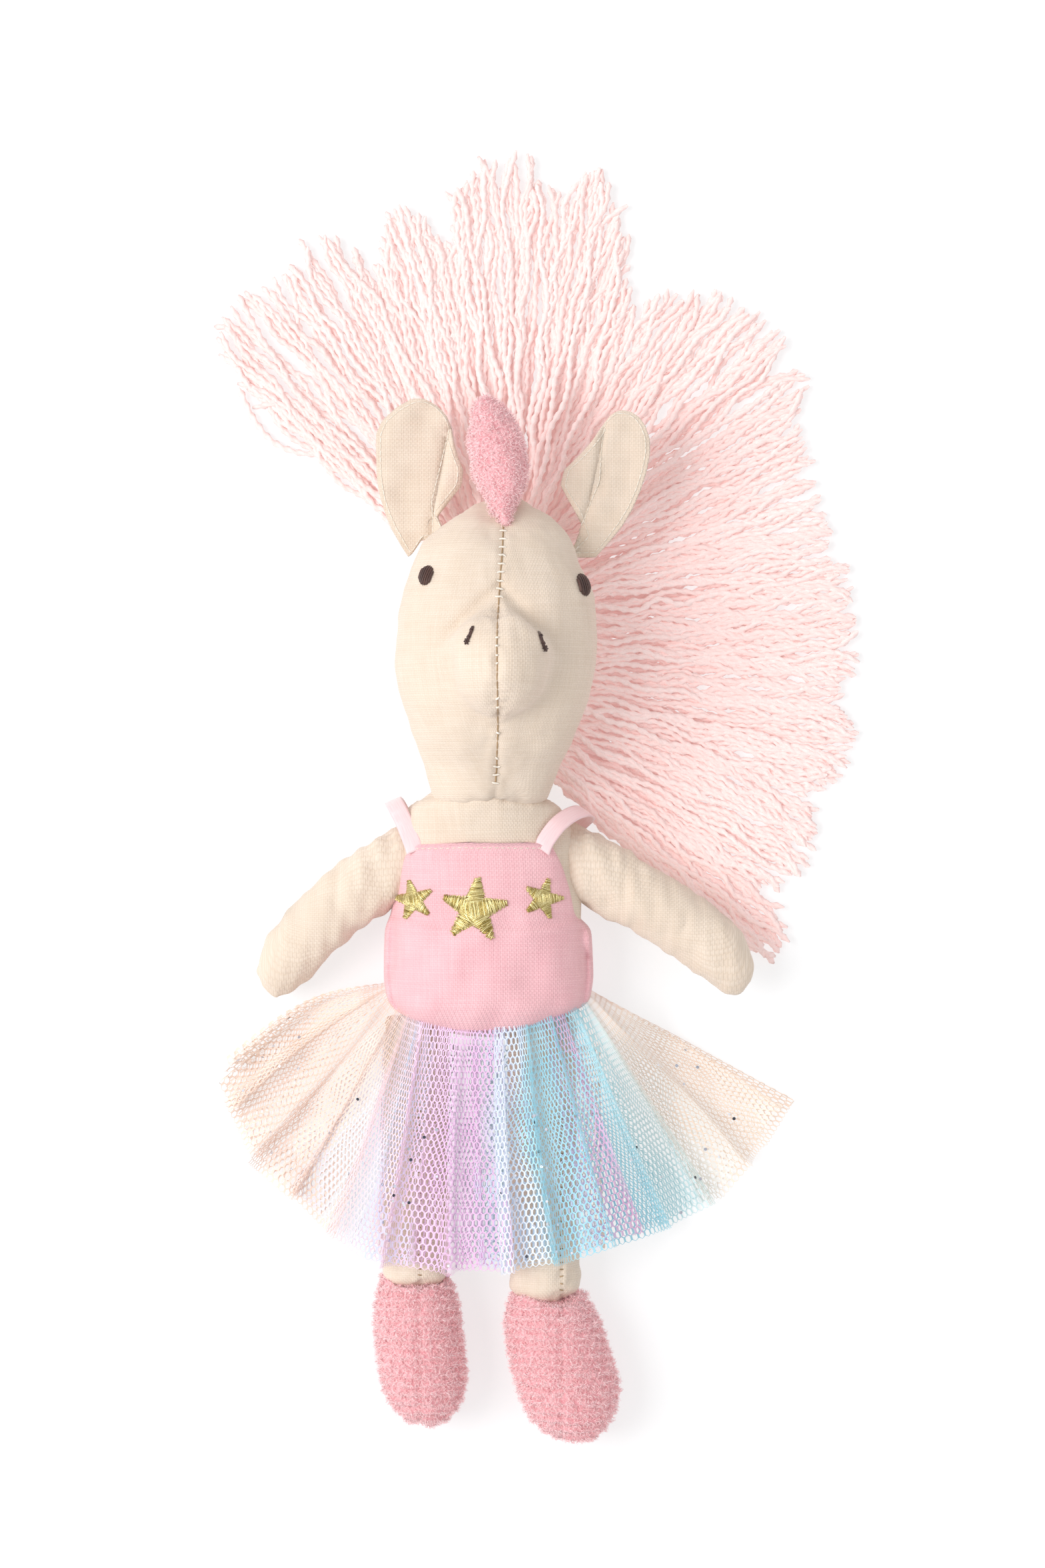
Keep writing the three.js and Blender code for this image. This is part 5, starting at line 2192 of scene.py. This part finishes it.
@dataclass
class NetLayer:
    """One gathered layer of hexagonal net, laid out in fans of folds from the waist to the hem.

    A place in the cloth is u, from the left edge to the right edge, and v, from the waist to the hem.
    """

    name: str
    waist: list
    hem: list
    dyes: list
    level: float
    columns: int
    rows: int
    pleats: float
    height: float
    seed: int
    flare: float = 1.25
    side_level: float = 3.0
    hole: tuple = (0.70, 0.88)

    def __post_init__(self) -> None:
        """Prepares the folds' uneven spacing and the hem's arc."""
        rng = np.random.default_rng(self.seed)
        waist = np.array(self.waist, float)
        self.waist_u, self.waist_xy, self.waist_z = waist[:, 0], waist[:, 1:3], waist[:, 3]
        self.hem_line = resample(np.array(self.hem, float), 401)
        self.phase_bumps = rng.uniform(0.0, 6.28, 4)
        self.fold_rng = rng.uniform(0.0, 6.28, 6)

    def phase(self, u: np.ndarray) -> np.ndarray:
        """The fold phase at each place across the cloth."""
        bumps = sum(
            0.55 / (k + 1) * np.sin(u * 2.0 * math.pi * (1.7 + 2.3 * k) + self.phase_bumps[k])
            for k in range(4)
        )
        return 2.0 * math.pi * self.pleats * u + 2.1 * bumps

    def plan(self, u: np.ndarray, v: np.ndarray) -> np.ndarray:
        """The unfolded cloth seen from above.

        Args:
            u: places across the cloth, from 0 to 1.
            v: places from waist to hem, from 0 to 1.

        Returns:
            X and Y of each place in millimetres.
        """
        w = np.column_stack([np.interp(u, self.waist_u, self.waist_xy[:, k]) for k in range(2)])
        share = np.clip(u, 0.0, 1.0) * 400.0
        h = np.column_stack([np.interp(share, np.arange(401), self.hem_line[:, k]) for k in range(2)])
        plan = w + (h - w) * v[:, None]
        puff = np.clip(1.0 - u / 0.16, 0.0, 1.0) * np.sin(math.pi * np.clip(v, 0.0, 1.0)) * 5.0
        plan[:, 1] += puff
        return plan

    def support(self, plan: np.ndarray) -> np.ndarray:
        """The height that the cloth lies at: over the legs in the middle, on the table at the sides.

        Args:
            plan: places seen from above, in millimetres.

        Returns:
            One height for each place.
        """
        middle = 0.5
        aside = np.abs(plan[:, 0] - middle)
        fall = smooth_step(23.5, 47.0, aside)
        valley = 0.7 * band(plan[:, 0], -2.5, 4.0) * smooth_step(-40.0, -70.0, plan[:, 1])
        return self.level + (self.side_level - self.level) * fall - valley

    def place(self, u: np.ndarray, v: np.ndarray) -> np.ndarray:
        """The folded cloth in millimetres.

        Args:
            u: places across the cloth, from 0 to 1.
            v: places from waist to hem, from 0 to 1.

        Returns:
            One point for each place.
        """
        plan = self.plan(u, v)
        ahead = self.plan(u + 0.002, v) - plan
        stretch = np.linalg.norm(ahead, axis=1) / 0.002
        across = ahead / (np.linalg.norm(ahead, axis=1)[:, None] + 1e-9)
        phase = self.phase(u) + 0.9 * np.sin(v * 2.2 + self.fold_rng[0]) * np.sin(u * 9.0 + self.fold_rng[1])
        turn = 2.0 * math.pi * self.pleats
        wave = np.sin(phase)
        second = np.sin(2.3 * phase + 3.0 * u + self.fold_rng[2] + 0.8 * v)
        slide = self.flare * stretch / turn * (wave + 0.16 * second)
        points = np.zeros((len(u), 3))
        points[:, :2] = plan - across * slide[:, None]
        grow = 0.35 + 0.65 * smooth_step(0.0, 0.7, v)
        side = smooth_step(26.0, 45.0, np.abs(plan[:, 0]))
        lift = self.height * (1.0 + 0.9 * side) * grow * (np.cos(phase) + 0.3 * np.cos(2.3 * phase + 3.0 * u))
        waist_z = np.interp(u, self.waist_u, self.waist_z)
        base = self.support(plan)
        settle = smooth_step(0.0, 0.42, v)
        points[:, 2] = waist_z + (base - waist_z) * settle + lift * smooth_step(0.0, 0.12, v)
        soft = ripple(np.column_stack([plan, u * 0.0]), 17.0, self.seed + 3)
        points[:, 2] += 0.5 * soft * v
        low = 0.55 + 0.25 * np.cos(phase)
        points[:, 2] = np.where(points[:, 2] < low, low + 0.05 * (points[:, 2] - low), points[:, 2])
        ragged = 0.5 * np.sin(u * 71.0 + self.fold_rng[3]) * smooth_step(0.9, 1.0, v)
        onward = plan - self.plan(u, v - 0.01)
        onward /= np.linalg.norm(onward, axis=1)[:, None] + 1e-9
        points[:, :2] += onward * ragged[:, None]
        return points

    def dye(self, u: np.ndarray) -> np.ndarray:
        """The linear colour at each place across the cloth.

        Args:
            u: places across the cloth, from 0 to 1.

        Returns:
            One colour for each place.
        """
        stops = np.array([stop[0] for stop in self.dyes])
        colours = np.array([linear(stop[1])[:3] for stop in self.dyes])
        return np.column_stack([np.interp(u, stops, colours[:, k]) for k in range(3)])

    def cells(self, low: float, high: float) -> tuple[np.ndarray, np.ndarray]:
        """The u and v of every vertex of the net's cells between two places across the cloth.

        Args:
            low: where the part starts across the cloth.
            high: where it ends.

        Returns:
            The u and the v of the vertices.
        """
        j, i = np.meshgrid(np.arange(self.rows), np.arange(self.columns), indexing="ij")
        x = (i + 0.5 * (j % 2)).ravel() / self.columns
        y = (j.ravel() + 0.5) / self.rows
        kept = (x >= low) & (x < high)
        x, y = x[kept], y[kept]
        angles = math.radians(90.0) + np.arange(6) * math.pi / 3.0
        wide, tall = 0.5 / math.cos(math.pi / 6.0) / self.columns, 0.5 / 0.75 / self.rows
        outer = np.stack([np.cos(angles) * wide, np.sin(angles) * tall], axis=-1)
        both = np.concatenate([outer, outer * np.array(self.hole)])
        return x[:, None] + both[None, :, 0], y[:, None] + both[None, :, 1]

    def build(self, name: str, low: float, high: float) -> Piece:
        """Builds the part of the layer between two places across the cloth.

        Args:
            name: the piece's name.
            low: where the part starts across the cloth.
            high: where it ends.

        Returns:
            The new object.
        """
        u, v = self.cells(low, high)
        count = len(u)
        points = self.place(u.ravel(), v.ravel())
        first = (np.arange(count) * 12)[:, None]
        faces = []
        for k in range(6):
            n = (k + 1) % 6
            faces.append(first + np.array([[k, n, n + 6, k + 6]]))
        piece = add_mesh(name, points, [np.vstack(faces)])
        if normals_of(piece)[:, 2].mean() < 0:
            piece.data.flip_normals()
        tint = self.dye(np.clip(u.ravel() + 0.012 * np.sin(v.ravel() * 7.0 + self.seed), 0.0, 1.0))
        store_colour(piece, "dye", tint)
        self.measure(low, high)
        dress(piece, NET)
        return piece

    def measure(self, low: float, high: float) -> None:
        """Finds the flat width and length of a part, in millimetres, from its folded surface.

        Args:
            low: where the part starts across the cloth.
            high: where it ends.
        """
        us, vs = np.meshgrid(np.linspace(low, high, 400), np.linspace(0.0, 1.0, 60), indexing="ij")
        grid = self.place(us.ravel(), vs.ravel()).reshape(400, 60, 3)
        across = np.linalg.norm(np.diff(grid, axis=0), axis=2)
        along = np.linalg.norm(np.diff(grid, axis=1), axis=2)
        self.length = float(along.sum(axis=1).mean())
        surface = float((across[:, :-1] * along[:-1]).sum())
        self.width = surface / self.length
        self.share = 1.0 - self.hole[0] * self.hole[1]

    def spots(self, low: float, high: float, count: int, seed: int) -> tuple[np.ndarray, np.ndarray]:
        """Random places on a part of the layer with their facing directions.

        Args:
            low: where the part starts across the cloth.
            high: where it ends.
            count: how many places.
            seed: the random seed.

        Returns:
            The places and their normals.
        """
        rng = np.random.default_rng(seed)
        u = rng.uniform(low + 0.01, high - 0.01, count)
        v = rng.uniform(0.25, 0.98, count) ** 0.7
        here = self.place(u, v)
        normal = np.cross(self.place(u + 0.001, v) - here, here - self.place(u, v + 0.01))
        normal /= np.linalg.norm(normal, axis=1)[:, None] + 1e-9
        normal *= np.sign(normal[:, 2:3] + 1e-9)
        return here, normal


@dataclass
class Skirt:
    """The gathered net skirt: an outer layer and a lining in four parts each, and a back layer."""

    split: float = 0.547
    left_edge: float = 0.378
    right_edge: float = 0.668

    WAIST = (
        (0.0, -25.6, -12.6), (0.12, -25.4, -15.0), (0.294, -20.0, -20.0), (0.40, -15.0, -21.8),
        (0.531, 0.5, -23.0), (0.579, 7.0, -22.2), (0.70, 16.0, -20.0), (0.788, 23.6, -17.4),
        (0.9, 25.6, -15.8), (1.0, 25.8, -14.6),
    )
    HEM = (
        (-67.5, -32.2), (-65.0, -36.5), (-68.0, -39.3), (-62.5, -50.8), (-58.7, -59.8), (-49.2, -67.8),
        (-43.3, -73.2), (-33.7, -80.6), (-28.4, -82.0), (-10.8, -84.0), (3.5, -83.6), (16.8, -81.8),
        (27.6, -79.0), (46.6, -74.3), (61.0, -65.8), (72.0, -51.5), (75.8, -44.3),
    )
    OUTER_DYES = (
        (0.0, "#EFD3C0"), (0.27, "#EFD0BE"), (0.30, "#F4D3D3"), (0.36, "#F4D0E2"), (0.40, "#F3CDEA"),
        (0.45, "#EDBBE6"), (0.525, "#E9B2E2"), (0.535, "#DCDFF4"), (0.575, "#D3E4F5"), (0.585, "#8FD6E8"),
        (0.70, "#82D0E6"), (0.77, "#A2DCE8"), (0.80, "#CFE9EA"), (0.845, "#EBE6DC"), (0.87, "#F2D9C4"),
        (1.0, "#F0D2BC"),
    )
    LINING_DYES = (
        (0.0, "#F1D8C6"), (0.22, "#F0D3C6"), (0.28, "#D9DDF0"), (0.36, "#BFD4F0"), (0.42, "#E3BFE2"),
        (0.50, "#E2B2E0"), (0.55, "#C5D3EE"), (0.62, "#9FD4E8"), (0.72, "#E2A6D4"), (0.76, "#A9DBE6"),
        (0.86, "#E8E4DC"), (1.0, "#F3DCC8"),
    )
    BACK_DYES = ((0.0, "#E9C6D2"), (0.3, "#CFC6E8"), (0.55, "#A9D8EA"), (0.8, "#BFE3EA"), (1.0, "#EED6C6"))

    def build(self, bodice: BVHTree) -> None:
        """Builds every layer and its foil dots.

        Args:
            bodice: the finished bodice.
        """
        waist = self.lift_waist(bodice, 0.1)
        outer = NetLayer(
            "skirt_outer", waist, list(self.HEM), list(self.OUTER_DYES),
            23.6, 300, 38, 13.0, 1.45, 5, flare=1.5
        )
        inner_hem = [(x * 0.975, y * 0.985) for x, y in self.HEM]
        lining = NetLayer(
            "skirt_lining", self.lift_waist(bodice, -0.5), inner_hem, list(self.LINING_DYES), 21.9, 240, 36,
            12.0, 0.6, 9, flare=1.3, side_level=2.2
        )
        for layer in (outer, lining):
            self.part(layer, "side_left", 0.0, self.left_edge, "skirt_side_left", "torso")
            self.part(layer, "front_left", self.left_edge, self.split, "skirt_front_left", "leg_left")
            self.part(layer, "front_right", self.split, self.right_edge, "skirt_front_right", "leg_right")
            self.part(layer, "side_right", self.right_edge, 1.01, "skirt_side_right", "torso")
        self.back()
        self.dots(outer)

    def lift_waist(self, bodice: BVHTree, lift: float) -> list:
        """The waist line with its height on the bodice.

        Args:
            bodice: the surface of the finished bodice.
            lift: how far above it, in millimetres.

        Returns:
            The waist's points in millimetres.
        """
        line = []
        for u, x, y in self.WAIST:
            hit = drop(bodice, x * 0.985, y)
            z = 14.0 if hit is None else hit[2] + lift
            if u < 0.1 or u > 0.95:
                z = 9.0
            line.append((u, x, y, z))
        return line

    def part(self, layer: NetLayer, name: str, low: float, high: float, node: str, body: str) -> None:
        """One part of a layer, put on the torso if the torso carries it.

        Args:
            layer: the layer of net.
            name: the piece's name.
            low: where the part starts across the cloth.
            high: where it ends.
            node: the CAD node that it stands for.
            body: the body that carries it.
        """
        piece = layer.build(f"{layer.name}_{name}", low, high)
        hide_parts(node)
        self.follow(piece, body)
        log.info("%s: flat %.0f x %.0f mm", piece.name, layer.width, layer.length)

    def follow(self, piece: Piece, body: str) -> None:
        """Parts carried by the torso are put on it; the front parts only have their transform baked."""
        if body == "torso":
            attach(piece, "torso")
        else:
            bend(piece)

    def back(self) -> None:
        """The layer that lies under the legs."""
        low, high = box_mm("skirt_back")
        waist = [(u, low[0] + (high[0] - low[0]) * u, high[1] - 0.5, 1.4) for u in (0.0, 0.5, 1.0)]
        foot = low[1] + 0.6
        hem = [(low[0] - 1.0, low[1] + 2.5), (-12.0, foot), (8.0, foot), (high[0] + 1.0, low[1] + 4.0)]
        layer = NetLayer(
            "skirt_back", waist, hem, list(self.BACK_DYES),
            1.6, 70, 38, 5.0, 0.35, 13, flare=1.0, side_level=1.6
        )
        piece = layer.build("skirt_back_net", 0.0, 1.01)
        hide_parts("skirt_back")
        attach(piece, "torso")

    def dots(self, layer: NetLayer) -> None:
        """Foil dots stuck on the outer layer.

        Args:
            layer: the layer of net.
        """
        parts = (
            ("side_left", 0.0, self.left_edge, "torso"),
            ("front_left", self.left_edge, self.split, "leg_left"),
            ("front_right", self.split, self.right_edge, "leg_right"),
            ("side_right", self.right_edge, 1.0, "torso"),
        )
        kinds = ((SILVER_DOT, 9, 0.42), (BLACK_DOT, 5, 0.42), (WHITE_DOT, 12, 0.34))
        for index, (name, low, high, body) in enumerate(parts):
            for finish, count, radius in kinds:
                places, normals = layer.spots(low, high, count, 500 + index * 7 + count)
                piece = self.scatter(f"skirt_{name}_{finish.name}s", self.dot(radius), places, normals)
                self.follow(dress(piece, finish), body)

    def dot(self, radius: float) -> Piece:
        """One punched foil dot: a thin eight-sided disc whose two faces are pressed in a little.

        Args:
            radius: the dot's radius in millimetres.

        Returns:
            The dot at the origin, to be copied.
        """
        bpy.ops.object.select_all(action="DESELECT")
        bpy.ops.mesh.primitive_cylinder_add(vertices=8, radius=radius * MM, depth=0.06 * MM)
        made = bpy.context.object
        bpy.context.tool_settings.mesh_select_mode = (False, False, True)
        bpy.ops.object.mode_set(mode="EDIT")
        bpy.ops.mesh.select_all(action="DESELECT")
        bpy.ops.object.mode_set(mode="OBJECT")
        for face in made.data.polygons:
            face.select = abs(face.normal.z) > 0.9
        bpy.ops.object.mode_set(mode="EDIT")
        bpy.ops.mesh.inset(thickness=0.3 * radius * MM, depth=-0.01 * MM, use_individual=True)
        bpy.ops.object.mode_set(mode="OBJECT")
        return made

    def scatter(
        self, name: str, model: Piece, places: np.ndarray, normals: np.ndarray
    ) -> Piece:
        """Copies of a dot laid flat on the cloth, joined into one piece.

        Args:
            name: the piece's name.
            model: the dot, which is used up.
            places: the dots' places in millimetres.
            normals: which way the cloth faces there.

        Returns:
            The piece, at the origin.
        """
        copies = []
        for place, normal in zip(places, normals):
            copy = bpy.data.objects.new(name, model.data.copy())
            copy.location = (place + normal * 0.16) * MM
            copy.rotation_euler = Vector(normal).to_track_quat("Z", "Y").to_euler()
            bpy.context.scene.collection.objects.link(copy)
            copies.append(copy)
        bpy.data.objects.remove(model)
        bpy.ops.object.select_all(action="DESELECT")
        for copy in copies:
            copy.select_set(True)
        bpy.context.view_layer.objects.active = copies[0]
        bpy.ops.object.join()
        bpy.ops.object.transform_apply(location=True, rotation=True, scale=True)
        return copies[0]


# ---- Studio -----------------------------------------------------------------------------------


@dataclass
class Studio:
    """A pale table, soft light from the upper left, and a camera straight above."""

    centre: tuple = (8.67, 37.3)
    distance_m: float = 1.0889
    floor_m: float = 12.0
    table_grey: tuple = (0.40, 0.40, 0.405, 1.0)
    table_glow: float = 0.61
    sky: float = 0.68

    def build(self) -> None:
        """Builds the table, the lights and the camera."""
        scene = bpy.context.scene
        bpy.ops.mesh.primitive_plane_add(size=self.floor_m, location=(0.0, 0.0, -0.0002))
        floor = bpy.context.object
        floor.name = "studio_table"
        material = bpy.data.materials.new("white_table")
        material.use_nodes = True
        paint = {"Base Color": self.table_grey, "Roughness": 0.9, "Specular IOR Level": 0.0}
        paint.update({"Emission Color": (1.0, 1.0, 1.0, 1.0), "Emission Strength": self.table_glow})
        fill(material.node_tree, material.node_tree.nodes["Principled BSDF"], paint)
        floor.data.materials.append(material)
        world = bpy.data.worlds.new("studio_world")
        world.use_nodes = True
        background = world.node_tree.nodes["Background"]
        fill(world.node_tree, background, {"Color": (1.0, 1.0, 1.0, 1.0), "Strength": self.sky})
        scene.world = world
        self.light("studio_key", (-1.0, 0.1, 1.15), 1.0, 17.5)
        self.light("studio_fill", (0.9, -0.3, 1.3), 1.2, 2.0)
        self.camera()
        scene.view_settings.view_transform = "Standard"

    def light(self, name: str, place: tuple, size: float, watts: float) -> None:
        """One square soft light, aimed at the object.

        Args:
            name: the light's name.
            place: where it stands, in metres.
            size: its width in metres.
            watts: its power.
        """
        bpy.ops.object.light_add(type="AREA", location=place)
        lamp = bpy.context.object
        lamp.name = name
        lamp.data.size = size
        lamp.data.energy = watts
        aim = Vector((self.centre[0] * MM, self.centre[1] * MM, 0.0)) - Vector(place)
        lamp.rotation_euler = aim.to_track_quat("-Z", "Y").to_euler()

    def camera(self) -> None:
        """The camera above the object, with the top of the picture towards +Y."""
        data = bpy.data.cameras.new("studio_camera")
        data.type = "PERSP"
        data.lens = 100.0
        data.sensor_width = 36.0
        data.sensor_fit = "AUTO"
        camera = bpy.data.objects.new("studio_camera", data)
        camera.location = (self.centre[0] * MM, self.centre[1] * MM, self.distance_m + 0.014)
        bpy.context.scene.collection.objects.link(camera)
        bpy.context.scene.camera = camera


# ---- Assembly ---------------------------------------------------------------------------------


def main() -> None:
    """Builds every sub-assembly and reports it."""
    logging.basicConfig(level=logging.INFO, format="%(message)s")
    Studio().build()
    Head().build()
    Horn().build()
    Ear(Side.LEFT, ((-9.5, 125.5), (-11.7, 116.2), (-13.8, 107.5), (-13.5, 98.0))).build()
    Ear(Side.RIGHT, ((29.2, 127.3), (28.3, 121.2), (27.7, 112.3), (22.3, 99.0))).build()
    Mane().build()
    torso = Torso().build()
    for side in Side:
        Arm(side).build()
        Leg(side).build()
    bodice = Bodice()
    bodice.build(torso)
    Skirt().build(bodice.surface)


if __name__ == "__main__":
    main()
